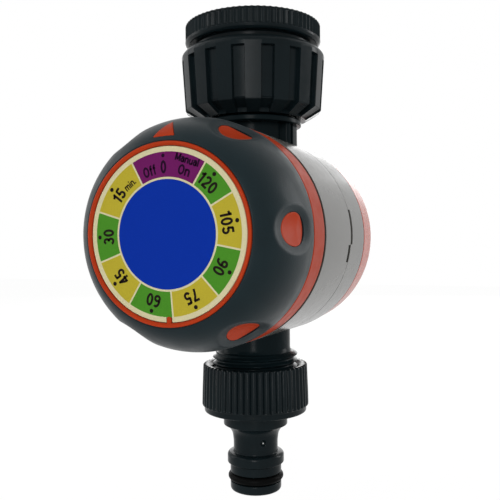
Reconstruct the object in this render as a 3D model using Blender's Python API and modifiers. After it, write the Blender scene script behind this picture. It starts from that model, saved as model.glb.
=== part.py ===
"""Mechanical water timer for a garden tap.

A winding knob with a printed dial sits on the front of a drum-shaped housing.  The pipe runs through
the housing from top to bottom: a swivel nut with a thread reducer hangs the timer on the tap, and a
knurled adaptor with a click-fit nipple takes the hose.  The knob winds a clockwork in a drum inside
it, and its spindle turns the rotor of the valve.

Units are metres, +Z is up along the pipe, the knob faces -Y, and the origin is the centre of the
reducer's top rim, where the tap sits.  Heights are measured down the pipe from there; the housing,
the knob and the clockwork are turned about the knob's axis, which runs along Y.
"""

import math

import bmesh
import bpy
from mathutils import Matrix, Vector

TURN = 2 * math.pi
ROUND = 32                      # facets round the large pieces
FINE = 16                       # and round the small ones
GAP = 0.0003                    # running and seating clearance between two pieces

# ---------------------------------------------------------------- driving dimensions

# the pipe from the tap down to the housing
RIM_R = 0.0208                  # reducer's ribbed rim
RIM_HEIGHT = 0.0055
RIM_LIP = 0.0006                # chamfer under the rim
REDUCER_CORE_R = 0.0151         # root of its outer thread, 1 inch pipe
SOCKET_R = 0.0135               # room for the tap's thread, 3/4 inch pipe
SOCKET_DEPTH = 0.0130
REDUCER_BORE_R = 0.0080
THREAD_SHOW_TOP = 0.0026        # thread left bare between rim and nut
NUT_R = 0.0220
NUT_TAPER = 0.0011
NUT_SIDE = 0.0175
NUT_CONE = 0.0027
NUT_FOOT_R = 0.0162
NUT_FLOOR = 0.0044
NUT_BORE_R = 0.0169
NUT_POCKETS = 16
POCKET_ANGLE = math.radians(9.6)
POCKET_DEPTH = 0.0013
POCKET_INSET = 0.0023           # land above the pockets
SEAL_THICK = 0.0020
NECK_R = 0.0109
SPIGOT_LIP_R = 0.0132
SPIGOT_LIP = 0.0020
FLANGE_R = 0.0148
FLANGE_THICK = 0.0016
NECK_LENGTH = 0.0031            # flange down to the housing
WING_REACH = 0.0131             # half width over the two wings
WING_THICK = 0.0076

# the pipe below the housing
OUTLET_NECK_LENGTH = 0.0029
THREAD_SHOW = 0.0058            # thread left bare above the adaptor
THREAD_ENGAGED = 0.0103
THREAD_CORE_R = 0.0120          # root of the 3/4 inch pipe thread
OUTLET_WASHER = 0.0016
ADAPTOR_R = 0.0165
ADAPTOR_TOP_R = 0.0161
ADAPTOR_RIBS = 52
RIB_LENGTH = 0.0125
BASE_RING_R = 0.0158
BASE_RING = 0.0019
NIPPLE_FLANGE_R = 0.0099
NIPPLE_FLANGE = 0.0044
NIPPLE_NECK_R = 0.00685
NIPPLE_FILLET = 0.0027
NIPPLE_NECK = 0.0032
COLLAR_R = 0.00875
COLLAR = 0.0039
STEP_R = 0.0079
STEP_WAIST = 0.0019
STEP = 0.0022
ORING_SECTION = 0.0011          # radius of the O-ring's own section
ORING_OUTER_R = 0.00855
TIP = 0.0035
NIPPLE_BORE_R = 0.0050

# the housing, stations along Y from the pipe's axis
BODY_R = 0.0306
BODY_WALL = 0.0022
SEAM_Y = 0.0006                 # between the front and rear shells
FRONT_LENGTH = 0.0242
REAR_LENGTH = 0.0156
COVER_LENGTH = 0.0158
COVER_ROUND = 0.0040
SEAM_GAP = 0.0003
LIP_REACH = 0.0020              # rear shell's lip inside the front shell
LIP_WALL = 0.0012
BOSS_INSET = 0.0005             # screw bosses off the shells' inner wall
BOSS_R = 0.0031
SCREW_R = 0.0015
SCREW_HEAD_R = 0.0029
SCREW_HEAD = 0.0020
SCREW_RECESS = 0.0030           # from the cover's back down to the head
SLOT_WIDTH = 0.0007             # pry slots in the seam
SLOT_DEPTH = 0.0012

# the knob
KNOB_GAP = 0.0010               # knob's back edge to the housing
KNOB_R = 0.0302
KNOB_BAND = 0.0091              # bare band of the inner shell at the back
KNOB_STRAIGHT = 0.0033          # straight run of the grip behind the dome
DOME_REACH = 0.0184             # semi-axis of the dome along Y
DOME_RISE = 0.0112              # semi-axis of the dome outwards
RING_R = 0.0221                 # front ring round the dial
RING_PROUD = 0.0006
GRIP_THICK = 0.0036             # soft overmould, thick enough to take the scoops
KNOB_WALL = 0.0025
DIAL_R = 0.0209
DIAL_THICK = 0.0005
KEY_WIDTH = 0.0012
KEY_LENGTH = 0.0014
HUB_R = 0.0062                  # hub inside the knob, on the spindle's end
HUB_WEB = 0.0036                # solid web in front of the spindle's socket
HUB_WELL_R = 0.0035             # well for the fixing screw's head
HUB_WELL = 0.0012
HUB_HOLE_R = 0.0012
DRUM_CLEARANCE = 0.0010         # knob round the clockwork's drum
SCOOPS = 6
SCOOP_SIZE = (0.0100, 0.0135, 0.0080)   # semi-axes across, along and outwards
SCOOP_DEPTH = 0.0022
SCOOP_Y = 0.0122                # scoop's middle behind the ring
SCOOP_TILT = math.radians(15)
PAD_SIZE = (0.0041, 0.0046)     # oval pad's semi-axes
PAD_SHIFT = -0.0028             # pad's middle, towards the ring
PAD_ROOT = 0.0009               # depth of the pads' roots in the inner shell
MARK_HALF = 0.0028              # triangle mark: half base, height
MARK_HEIGHT = 0.0070
MARK_R = 0.0257
REST_TURN = math.radians(-2)    # how the dial stands at rest

# clockwork and valve
DRUM_R = 0.0220
DRUM_WALL = 0.0014
DRUM_LENGTH = 0.0200
SPINDLE_R = 0.0030
SPINDLE_FLAT = 0.0022
SPINDLE_NOSE_R = 0.0021         # end that carries the valve rotor
PLATE = 0.0012
PLATE_SPACE = 0.0130
PILLAR_R = 0.0016
PILLAR_INSET = 0.0031           # pillars' middles in from the drum's bore
TRAIN_ROOM = 0.00091            # idler wheel's tips in from the drum's bore
ADDENDUM = 0.75                 # slim teeth, in modules
DEDENDUM = 1.05
WHEEL_THICK = 0.0008
GREAT_TEETH = 48
IDLER_PINION = 8
IDLER_TEETH = 32
ESCAPE_PINION = 8
ESCAPE_TEETH = 15
ESCAPE_CUT = 0.0001             # escape wheel past half its distance from the idler
BALANCE_R = 0.0038
ARBOR_R = 0.0006
SPRING_TURNS = 4
SPRING_ROOM = 0.00058           # mainspring's outer turn to the balance wheel
SPRING_WIDTH = 0.0046
CHAMBER_R = 0.0145
CHAMBER_WALL = 0.0025
CHAMBER_FRONT = 0.0170          # chamber's front rim ahead of the pipe's axis
CHAMBER_FLANGE_R = 0.0188
CHAMBER_FLANGE = 0.0030
BONNET = 0.0025
BONNET_SCREWS = 3
BONNET_SCREW_CIRCLE = 0.0166
PORT_DISC = 0.0025
ROTOR = 0.0030
PORT_R = 0.0030
PORT_OFFSET = 0.0070
CLOSED_WINDING = math.radians(36)       # solid part of the rotor either side of the port
CLOSED_MANUAL = math.radians(27)
CHAMBER_BACK = 0.0030           # chamber's back wall behind the pipe's axis
WATERWAY_R = 0.0065
FEED_WIDTH = 0.0090             # slot that leads the water from the inlet into the chamber
FEED_RISE = 0.0045
FEED_WALL = 0.0035
FEED_ROOF = 0.0020
DROP_WIDTH = 0.0080             # slot that leads it from the port down to the outlet
DROP_DEPTH = 0.0075
DROP_LENGTH = 0.0145
DROP_WALL = 0.0030
INLET_WASHER = 0.0025
FILTER_DEPTH = 0.0045
FILTER_FLANGE = 0.0005
FILTER_SCREEN = 0.0004
BONNET_SCREW_R = 0.0008
BONNET_HEAD_R = 0.0019
BONNET_HEAD = 0.0012
BONNET_SCREW = 0.0044
SPINDLE_SEAL = 0.0016           # room for the spindle's O-ring

# ---------------------------------------------------------------- derived stations

NUT_TOP = -(RIM_HEIGHT + RIM_LIP + THREAD_SHOW_TOP)
NUT_CONE_TOP = NUT_TOP - NUT_SIDE
NUT_BOTTOM = NUT_CONE_TOP - NUT_CONE
NUT_FLOOR_TOP = NUT_BOTTOM + NUT_FLOOR
SPIGOT_TOP = NUT_FLOOR_TOP + GAP + SPIGOT_LIP
REDUCER_END = SPIGOT_TOP + GAP + SEAL_THICK + GAP
FLANGE_TOP = NUT_BOTTOM - GAP
FLANGE_BOTTOM = FLANGE_TOP - FLANGE_THICK
HOUSING_TOP = FLANGE_BOTTOM - NECK_LENGTH
KNOB_Z = HOUSING_TOP - BODY_R
HOUSING_BOTTOM = KNOB_Z - BODY_R
THREAD_TOP = HOUSING_BOTTOM - OUTLET_NECK_LENGTH
ADAPTOR_TOP = THREAD_TOP - THREAD_SHOW
THREAD_END = ADAPTOR_TOP - THREAD_ENGAGED
ADAPTOR_FLOOR = THREAD_END - GAP - OUTLET_WASHER - GAP
RIB_END = ADAPTOR_TOP - RIB_LENGTH
BASE_END = RIB_END - BASE_RING
FLANGE_END = BASE_END - NIPPLE_FLANGE
FILLET_END = FLANGE_END - NIPPLE_FILLET
COLLAR_TOP = FILLET_END - NIPPLE_NECK
COLLAR_END = COLLAR_TOP - COLLAR
STEP_TOP = COLLAR_END - STEP_WAIST
GROOVE_TOP = STEP_TOP - STEP
GROOVE_END = GROOVE_TOP - 2 * ORING_SECTION - 2 * GAP
TIP_END = GROOVE_END - TIP
ORING_R = ORING_OUTER_R - ORING_SECTION

FRONT_Y = SEAM_Y - SEAM_GAP / 2 - FRONT_LENGTH
FRONT_WALL_BACK = FRONT_Y + BODY_WALL
REAR_BACK_Y = SEAM_Y + SEAM_GAP / 2 + REAR_LENGTH
COVER_FRONT_Y = REAR_BACK_Y + SEAM_GAP
BACK_Y = COVER_FRONT_Y + COVER_LENGTH
BODY_INNER_R = BODY_R - BODY_WALL
SCREW_CIRCLE_R = BODY_INNER_R - BOSS_R - BOSS_INSET

KNOB_BACK_Y = FRONT_Y - KNOB_GAP
GRIP_BACK_Y = KNOB_BACK_Y - KNOB_BAND
DOME_Y = GRIP_BACK_Y - KNOB_STRAIGHT
DOME_CENTRE_R = KNOB_R - DOME_RISE
RING_Y = DOME_Y - DOME_REACH * math.sqrt(1 - ((RING_R - DOME_CENTRE_R) / DOME_RISE) ** 2)
RING_FRONT_Y = RING_Y - RING_PROUD / 2
DIAL_FACE_Y = RING_FRONT_Y + RING_PROUD
RECESS_Y = DIAL_FACE_Y + DIAL_THICK + GAP
SCOOP_CENTRE_Y = RING_Y + SCOOP_Y

DRUM_FRONT_Y = FRONT_Y - DRUM_LENGTH
DRUM_INNER_R = DRUM_R - DRUM_WALL
HUB_BACK_Y = DRUM_FRONT_Y - 2 * GAP
PLATE_FRONT_Y = DRUM_FRONT_Y + DRUM_WALL + GAP
PLATE_REAR_Y = PLATE_FRONT_Y + PLATE + PLATE_SPACE
PILLAR_CIRCLE_R = DRUM_INNER_R - PILLAR_INSET
TRAIN_REACH = (GREAT_TEETH + IDLER_PINION + IDLER_TEETH) / 2 + ADDENDUM
MODULE = (DRUM_INNER_R - TRAIN_ROOM) / TRAIN_REACH
IDLER_DISTANCE = MODULE * (GREAT_TEETH + IDLER_PINION) / 2
ESCAPE_DISTANCE = MODULE * (IDLER_TEETH + ESCAPE_PINION) / 2
ESCAPE_R = ESCAPE_DISTANCE / 2 + ESCAPE_CUT
CHAMBER_FRONT_Y = -CHAMBER_FRONT
CHAMBER_INNER_R = CHAMBER_R - CHAMBER_WALL
PORT_DISC_Y = -CHAMBER_BACK - GAP - PORT_DISC
ROTOR_Y = PORT_DISC_Y - GAP - ROTOR

# ---------------------------------------------------------------- helpers


def clear_scene():
    for thing in list(bpy.data.objects):
        bpy.data.objects.remove(thing, do_unlink=True)


def new_collection(name):
    collection = bpy.data.collections.new(name)
    bpy.context.scene.collection.children.link(collection)
    return collection


clear_scene()
PARTS = new_collection("drip_irrigation_timer")
CUTTERS = new_collection("cutters")


def material(name, colour, roughness, metallic=0.0):
    made = bpy.data.materials.new(name)
    made.use_nodes = True
    shader = made.node_tree.nodes["Principled BSDF"]
    shader.inputs["Base Color"].default_value = (*colour, 1)
    shader.inputs["Roughness"].default_value = roughness
    shader.inputs["Metallic"].default_value = metallic
    return made


BLACK = material("fitting_black", (0.012, 0.018, 0.020), 0.32)
GRIP = material("grip_soft_grey", (0.032, 0.047, 0.047), 0.55)
ORANGE = material("shell_orange", (0.62, 0.09, 0.035), 0.40)
GREY = material("housing_grey", (0.36, 0.35, 0.32), 0.42)
PAPER = material("dial_print", (0.80, 0.76, 0.55), 0.45)
RUBBER = material("seal_rubber", (0.010, 0.010, 0.010), 0.60)
BRASS = material("wheel_brass", (0.60, 0.42, 0.14), 0.30, 1.0)
STEEL = material("bright_steel", (0.55, 0.56, 0.57), 0.28, 1.0)
MESH = material("filter_mesh", (0.50, 0.52, 0.53), 0.35, 1.0)
CERAMIC = material("port_ceramic", (0.78, 0.77, 0.73), 0.20)


def smooth(mesh, degrees=35):
    mesh.shade_smooth()
    mesh.set_sharp_from_angle(angle=math.radians(degrees))


def add(name, mesh, colour):
    """A sub-part, or a cutter where it has no colour."""
    thing = bpy.data.objects.new(name, mesh)
    if colour is None:
        CUTTERS.objects.link(thing)
        thing.hide_render = True
        thing.display_type = "WIRE"
    else:
        PARTS.objects.link(thing)
        mesh.materials.append(colour)
    return thing


def mesh_from(name, bm):
    mesh = bpy.data.meshes.new(name)
    bmesh.ops.recalc_face_normals(bm, faces=bm.faces)
    bm.to_mesh(mesh)
    bm.free()
    smooth(mesh)
    return mesh


def stand_on_y(thing, x=0.0, z=KNOB_Z, parent=None):
    """Turn a piece made about Z so that its height runs along +Y through (x, z)."""
    thing.rotation_euler = (-math.pi / 2, 0, 0)
    thing.location = (x, 0, z)
    if parent:
        thing.parent = parent
        thing.location = (x, 0, z - KNOB_Z)
    return thing


def turned(name, profile, colour, steps=FINE):
    """A body of revolution about Z.  The profile lists (radius, height) down the outer side and
    back up the bore; one that starts and ends on the axis is left open there.  A cutter starts
    a part of a step round, so that its facets' corners miss those of the body."""
    bm = bmesh.new()
    start = TURN * (0.0 if colour else 0.37) / steps
    verts = [bm.verts.new((radius * math.cos(start), radius * math.sin(start), height))
             for radius, height in profile]
    for first, second in zip(verts, verts[1:]):
        bm.edges.new((first, second))
    if profile[0][0] > 0:
        bm.edges.new((verts[-1], verts[0]))
    mesh = bpy.data.meshes.new(name)
    bm.to_mesh(mesh)
    bm.free()
    thing = add(name, mesh, colour)
    screw = thing.modifiers.new("turn", "SCREW")
    screw.steps = steps
    screw.render_steps = steps
    screw.use_merge_vertices = True
    screw.merge_threshold = 0.00001
    screw.use_smooth_shade = True
    return thing


def plate(name, outlines, thickness, colour):
    """A flat outline in XY with its holes, thickened upwards from z = 0."""
    curve = bpy.data.curves.new(name, "CURVE")
    curve.dimensions = "2D"
    curve.fill_mode = "BOTH"
    curve.extrude = thickness / 2
    for outline in outlines:
        spline = curve.splines.new("POLY")
        spline.points.add(len(outline) - 1)
        for point, (x, y) in zip(spline.points, outline):
            point.co = (x, y, 0, 1)
        spline.use_cyclic_u = True
    return from_curve(name, curve, colour, Matrix.Translation((0, 0, thickness / 2)))


def from_curve(name, curve, colour, move=Matrix()):
    """A curve as a closed mesh."""
    guide = bpy.data.objects.new(name + "_guide", curve)
    bpy.context.scene.collection.objects.link(guide)
    bpy.context.view_layer.update()
    evaluated = guide.evaluated_get(bpy.context.evaluated_depsgraph_get())
    mesh = bpy.data.meshes.new_from_object(evaluated)
    bpy.data.objects.remove(guide, do_unlink=True)
    bm = bmesh.new()
    bm.from_mesh(mesh)
    bmesh.ops.remove_doubles(bm, verts=bm.verts, dist=0.000002)
    bm.transform(move)
    bpy.data.meshes.remove(mesh)
    return add(name, mesh_from(name, bm), colour)


def circle(radius, count=32, centre=(0, 0), start=0.0):
    return [(centre[0] + radius * math.cos(start + TURN * i / count),
             centre[1] + radius * math.sin(start + TURN * i / count)) for i in range(count)]


def cylinders(name, places, radius, low, high, colour=None, sides=16):
    """Upright cylinders at the (x, y) places, as one mesh."""
    bm = bmesh.new()
    for x, y in places:
        spin = Matrix.Rotation(math.atan2(y, x) + 0.21 * TURN / sides, 4, "Z")
        move = Matrix.Translation((x, y, (low + high) / 2)) @ spin
        bmesh.ops.create_cone(bm, cap_ends=True, segments=sides, radius1=radius, radius2=radius,
                              depth=high - low, matrix=move)
    return add(name, mesh_from(name, bm), colour)


def box(name, low, high, colour=None):
    bm = bmesh.new()
    size = [b - a for a, b in zip(low, high)]
    centre = [(a + b) / 2 for a, b in zip(low, high)]
    bmesh.ops.create_cube(bm, size=1, matrix=Matrix.Translation(centre) @ Matrix.Diagonal((*size, 1)))
    return add(name, mesh_from(name, bm), colour)


def boolean(thing, tool, operation="DIFFERENCE"):
    step = thing.modifiers.new(operation.lower() + "_" + tool.name, "BOOLEAN")
    step.object = tool
    step.operation = operation
    step.solver = "EXACT"
    return thing


def arc(centre, radius, start, end, count):
    """Points on a circular arc of a profile; angles in degrees, 0 outwards and 90 up."""
    angles = [math.radians(start + (end - start) * i / count) for i in range(count + 1)]
    return [(centre[0] + radius * math.cos(a), centre[1] + radius * math.sin(a)) for a in angles]


# ---------------------------------------------------------------- inlet: reducer, nut and seals


def make_reducer():
    edge = 0.0004
    profile = [
        (RIM_R - edge, 0), (RIM_R, -edge), (RIM_R - 0.0002, -RIM_HEIGHT),
        (RIM_R - 0.0009, -RIM_HEIGHT - RIM_LIP), (REDUCER_CORE_R, -RIM_HEIGHT - RIM_LIP),
        (REDUCER_CORE_R, REDUCER_END + edge), (REDUCER_CORE_R - edge, REDUCER_END),
        (REDUCER_BORE_R, REDUCER_END), (REDUCER_BORE_R, -SOCKET_DEPTH),
        (SOCKET_R, -SOCKET_DEPTH), (SOCKET_R, -2 * edge), (SOCKET_R + 2 * edge, 0),
    ]
    turned("reducer", profile, BLACK, ROUND)


def make_inlet_seals():
    floor = -SOCKET_DEPTH + GAP
    dome_r = REDUCER_BORE_R - 2 * GAP
    steps = 4
    outer = [(dome_r * math.cos(math.pi / 2 * i / steps),
              floor - FILTER_DEPTH * math.sin(math.pi / 2 * i / steps))
             for i in range(steps)]
    inner_depth = FILTER_DEPTH - FILTER_SCREEN
    inner = [((dome_r - FILTER_SCREEN) * math.cos(math.pi / 2 * i / steps),
              floor + FILTER_SCREEN / 2 - inner_depth * math.sin(math.pi / 2 * i / steps))
             for i in range(steps)]
    profile = [(SOCKET_R - 2 * GAP, floor + FILTER_FLANGE), (SOCKET_R - 2 * GAP, floor)]
    profile += outer + [(0, floor - FILTER_DEPTH), (0, floor - inner_depth)]
    profile += inner[::-1] + [(dome_r - FILTER_SCREEN, floor + FILTER_FLANGE)]
    # the section touches the axis along its bottom only, so it is closed by hand
    bm = bmesh.new()
    verts = [bm.verts.new((radius, 0, height)) for radius, height in profile]
    axis = len(outer) + 2
    for i, vert in enumerate(verts):
        if i != axis:
            bm.edges.new((vert, verts[(i + 1) % len(verts)]))
    mesh = bpy.data.meshes.new("inlet_filter")
    bm.to_mesh(mesh)
    bm.free()
    inlet_filter = add("inlet_filter", mesh, MESH)
    screw = inlet_filter.modifiers.new("turn", "SCREW")
    screw.steps = FINE
    screw.render_steps = FINE
    screw.use_merge_vertices = True
    screw.merge_threshold = 0.00001
    washer_low = floor + FILTER_FLANGE + GAP
    washer("inlet_washer", SOCKET_R - GAP, REDUCER_BORE_R + GAP, washer_low, washer_low + INLET_WASHER)
    washer("spigot_seal", SPIGOT_LIP_R + 2 * GAP, REDUCER_BORE_R, SPIGOT_TOP + GAP,
           SPIGOT_TOP + GAP + SEAL_THICK)


def washer(name, outer, inner, low, high, colour=RUBBER, steps=FINE):
    return turned(name, [(outer, high), (outer, low), (inner, low), (inner, high)], colour, steps)


def make_swivel_nut():
    crown = 0.0008
    foot_side_r = NUT_R - NUT_TAPER
    profile = [(NUT_R - crown, NUT_TOP)]
    profile += arc((NUT_R - crown, NUT_TOP - crown), crown, 60, 0, 2)
    profile += [
        (foot_side_r, NUT_CONE_TOP), (NUT_FOOT_R, NUT_BOTTOM), (NECK_R + GAP, NUT_BOTTOM),
        (NECK_R + GAP, NUT_FLOOR_TOP), (NUT_BORE_R, NUT_FLOOR_TOP), (NUT_BORE_R, NUT_TOP - crown),
        (NUT_BORE_R + crown, NUT_TOP),
    ]
    nut = turned("swivel_nut", profile, BLACK, ROUND)
    bm = bmesh.new()
    half = math.sin(POCKET_ANGLE / 2) * NUT_R
    top = NUT_TOP - POCKET_INSET
    bottom = NUT_BOTTOM - POCKET_DEPTH
    reach = 2 * POCKET_DEPTH
    lean = math.atan(NUT_TAPER / NUT_SIDE)
    size = Matrix.Diagonal((reach, 2 * half, top - bottom, 1))
    for i in range(NUT_POCKETS):
        turn = Matrix.Rotation(TURN * (i + 0.5) / NUT_POCKETS, 4, "Z")
        out = NUT_R - POCKET_DEPTH - NUT_TAPER / 2 + reach / 2
        move = Matrix.Translation((out, 0, (top + bottom) / 2)) @ Matrix.Rotation(lean, 4, "Y")
        bmesh.ops.create_cube(bm, size=1, matrix=turn @ move @ size)
    boolean(nut, add("nut_pockets", mesh_from("nut_pockets", bm), None))


# ---------------------------------------------------------------- valve body and valve


def bonnet_screw_places():
    return circle(BONNET_SCREW_CIRCLE, BONNET_SCREWS, start=math.pi / 6)


def make_valve_body():
    """Inlet spigot, flange, winged neck, valve chamber and outlet neck, moulded in one."""
    edge = 0.0005
    chamber_top = KNOB_Z + CHAMBER_R
    feed_top = chamber_top + FEED_RISE
    drop_front = 0.0005
    drop_top = KNOB_Z - PORT_OFFSET + PORT_R - 0.0005
    inlet = [
        (SPIGOT_LIP_R - 2 * edge, SPIGOT_TOP), (SPIGOT_LIP_R, SPIGOT_TOP - 2 * edge),
        (SPIGOT_LIP_R, NUT_FLOOR_TOP + GAP), (NECK_R, NUT_FLOOR_TOP + GAP),
        (NECK_R, FLANGE_TOP), (FLANGE_R - edge, FLANGE_TOP), (FLANGE_R, FLANGE_TOP - edge),
        (FLANGE_R, FLANGE_BOTTOM), (NECK_R, FLANGE_BOTTOM), (NECK_R, chamber_top - 0.006),
        (0, chamber_top - 0.006), (0, SPIGOT_TOP),
    ]
    inlet = [(0, SPIGOT_TOP)] + inlet[:-1]
    body = turned("valve_body", inlet, BLACK, 24)
    wing_low = KNOB_Z + math.sqrt(BODY_R ** 2 - WING_REACH ** 2) - BODY_WALL - 0.003
    wings = box("wings", (-WING_REACH, -WING_THICK / 2, wing_low),
                (WING_REACH, WING_THICK / 2, FLANGE_BOTTOM + FLANGE_THICK / 2))
    chamber = stand_on_y(turned("chamber", [
        (0, CHAMBER_BACK), (CHAMBER_R, CHAMBER_BACK), (CHAMBER_R, CHAMBER_FRONT_Y + CHAMBER_FLANGE),
        (CHAMBER_FLANGE_R, CHAMBER_FRONT_Y + CHAMBER_FLANGE), (CHAMBER_FLANGE_R, CHAMBER_FRONT_Y),
        (0, CHAMBER_FRONT_Y)], None, 20))
    feed = box("feed_block", (-FEED_WIDTH / 2 - FEED_WALL, CHAMBER_FRONT_Y + 0.001, KNOB_Z + 0.010),
               (FEED_WIDTH / 2 + FEED_WALL, 0.008, feed_top + FEED_ROOF))
    riser = box("riser_block",
                (-DROP_WIDTH / 2 - DROP_WALL, -0.002, drop_top - DROP_LENGTH - DROP_WALL),
                (DROP_WIDTH / 2 + DROP_WALL, drop_front + DROP_DEPTH + 0.0025, drop_top + 0.0035))
    outlet = turned("outlet_neck", [
        (0, KNOB_Z - 0.0125), (NECK_R, KNOB_Z - 0.0125), (NECK_R, THREAD_TOP), (THREAD_CORE_R, THREAD_TOP),
        (THREAD_CORE_R, THREAD_END + edge), (THREAD_CORE_R - edge, THREAD_END), (0, THREAD_END)],
        None, 24)
    for piece in (wings, chamber, feed, riser, outlet):
        boolean(body, piece, "UNION")
    cavity = stand_on_y(turned("chamber_cavity", [
        (0, -CHAMBER_BACK), (CHAMBER_INNER_R, -CHAMBER_BACK), (CHAMBER_INNER_R, CHAMBER_FRONT_Y - 0.002),
        (0, CHAMBER_FRONT_Y - 0.002)], None, FINE))
    feed_slot = box("feed_slot", (-FEED_WIDTH / 2, CHAMBER_FRONT_Y + 0.0045, KNOB_Z + 0.0100),
                    (FEED_WIDTH / 2, 0.0030, feed_top))
    inlet_bore = cylinders("inlet_bore", [(0, 0)], WATERWAY_R, feed_top - 0.0035, SPIGOT_TOP + 0.001,
                           sides=16)
    port = stand_on_y(cylinders("port_way", [(0, PORT_OFFSET)], PORT_R, -0.0035, 0.0065, sides=12))
    drop = box("drop_slot", (-DROP_WIDTH / 2, drop_front, drop_top - DROP_LENGTH),
               (DROP_WIDTH / 2, drop_front + DROP_DEPTH, drop_top))
    outlet_bore = cylinders("outlet_bore", [(0, 0)], WATERWAY_R, THREAD_END - 0.001, KNOB_Z - 0.0168,
                            sides=16)
    pilots = stand_on_y(cylinders("bonnet_pilots", bonnet_screw_places(), BONNET_SCREW_R + 0.0002,
                                  CHAMBER_FRONT_Y - 0.001, CHAMBER_FRONT_Y + 0.0026, sides=8))
    for cutter in (cavity, feed_slot, inlet_bore, port, drop, outlet_bore, pilots):
        boolean(body, cutter)


def make_valve():
    """Bonnet, port disc and the seals; the rotor rides on the spindle."""
    spigot_r = CHAMBER_INNER_R - GAP
    bonnet_back = CHAMBER_FRONT_Y - GAP
    bonnet_front = bonnet_back - BONNET
    spigot_end = ROTOR_Y - 0.0012
    bore = SPINDLE_R + GAP
    seat = SPINDLE_SEAL
    bonnet = stand_on_y(turned("valve_bonnet", [
        (spigot_r, spigot_end), (spigot_r, bonnet_back), (CHAMBER_FLANGE_R, bonnet_back),
        (CHAMBER_FLANGE_R, bonnet_front), (bore, bonnet_front), (bore, spigot_end - 2 * seat),
        (bore + seat, spigot_end - 2 * seat), (bore + seat, spigot_end)], BLACK))
    holes = stand_on_y(cylinders("bonnet_holes", bonnet_screw_places(), BONNET_SCREW_R + 2 * GAP,
                                 bonnet_front - 0.001, bonnet_back + 0.0005, sides=8))
    feed = stand_on_y(box("bonnet_inlet", (-0.0050, -0.0150, spigot_end - 0.0022),
                          (0.0050, -0.0075, spigot_end + 0.001)))
    boolean(bonnet, holes)
    boolean(bonnet, feed)
    for i, (x, y) in enumerate(bonnet_screw_places(), 1):
        fixing = screw("bonnet_screw_" + str(i), BONNET_HEAD_R, BONNET_HEAD, BONNET_SCREW_R, BONNET_SCREW)
        stand_on_y(fixing, x, KNOB_Z - y)
        fixing.location.y = bonnet_front - GAP
    seal_y = spigot_end - 2 * seat + 0.0011
    stand_on_y(torus("spindle_oring", bore + seat / 2, (seat - GAP) / 2, seal_y, 14, 6))
    disc = stand_on_y(turned("port_disc", [
        (0, -CHAMBER_BACK - GAP), (CHAMBER_INNER_R - GAP, -CHAMBER_BACK - GAP),
        (CHAMBER_INNER_R - GAP, PORT_DISC_Y), (0, PORT_DISC_Y)], CERAMIC))
    boolean(disc, stand_on_y(cylinders("port_hole", [(0, PORT_OFFSET)], PORT_R, PORT_DISC_Y - 0.001,
                                       0.001, sides=16)))


def torus(name, radius, section, height, steps=24, sides=8, colour=RUBBER):
    profile = [(radius + section * math.cos(TURN * i / sides), height - section * math.sin(TURN * i / sides))
               for i in range(sides)]
    return turned(name, profile, colour, steps)


def screw(name, head_r, head, shank_r, length):
    """A pan-head screw along Z: the underside of its head is at z = 0 and its shank points up."""
    return turned(name, [
        (0, length), (shank_r * 0.7, length), (shank_r, length - shank_r), (shank_r, 0), (head_r, 0),
        (head_r, -head * 0.5), (head_r * 0.7, -head), (0, -head)], STEEL, 8)


# ---------------------------------------------------------------- housing


def neck_cutter():
    """The hole that the two shells leave for the winged neck, and the one for the outlet."""
    reach = BODY_R + 0.004
    hole = cylinders("neck_hole", [(0, 0)], NECK_R + GAP, KNOB_Z + BODY_R * 0.6, KNOB_Z + reach, sides=20)
    slot = box("wing_slot", (-WING_REACH - GAP, -WING_THICK / 2 - GAP, KNOB_Z + BODY_R * 0.6),
               (WING_REACH + GAP, WING_THICK / 2 + GAP, KNOB_Z + reach))
    below = cylinders("outlet_hole", [(0, 0)], NECK_R + GAP, KNOB_Z - reach, KNOB_Z - BODY_R * 0.6, sides=20)
    return hole, slot, below


def pry_slot(name, start, end, low, high):
    """A box cutter across the seam, between two angles clockwise from the top."""
    middle = math.radians((start + end) / 2)
    half = BODY_R * math.radians(end - start) / 2
    bm = bmesh.new()
    depth = 2 * SLOT_DEPTH
    size = Matrix.Diagonal((2 * half, high - low, depth, 1))
    move = Matrix.Translation((0, (low + high) / 2, BODY_R - SLOT_DEPTH + depth / 2))
    place = Matrix.Translation((0, 0, KNOB_Z)) @ Matrix.Rotation(middle, 4, "Y") @ move @ size
    bmesh.ops.create_cube(bm, size=1, matrix=place)
    return add(name, mesh_from(name, bm), None)


def screw_places():
    return circle(SCREW_CIRCLE_R, 4, start=math.pi / 4)


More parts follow.
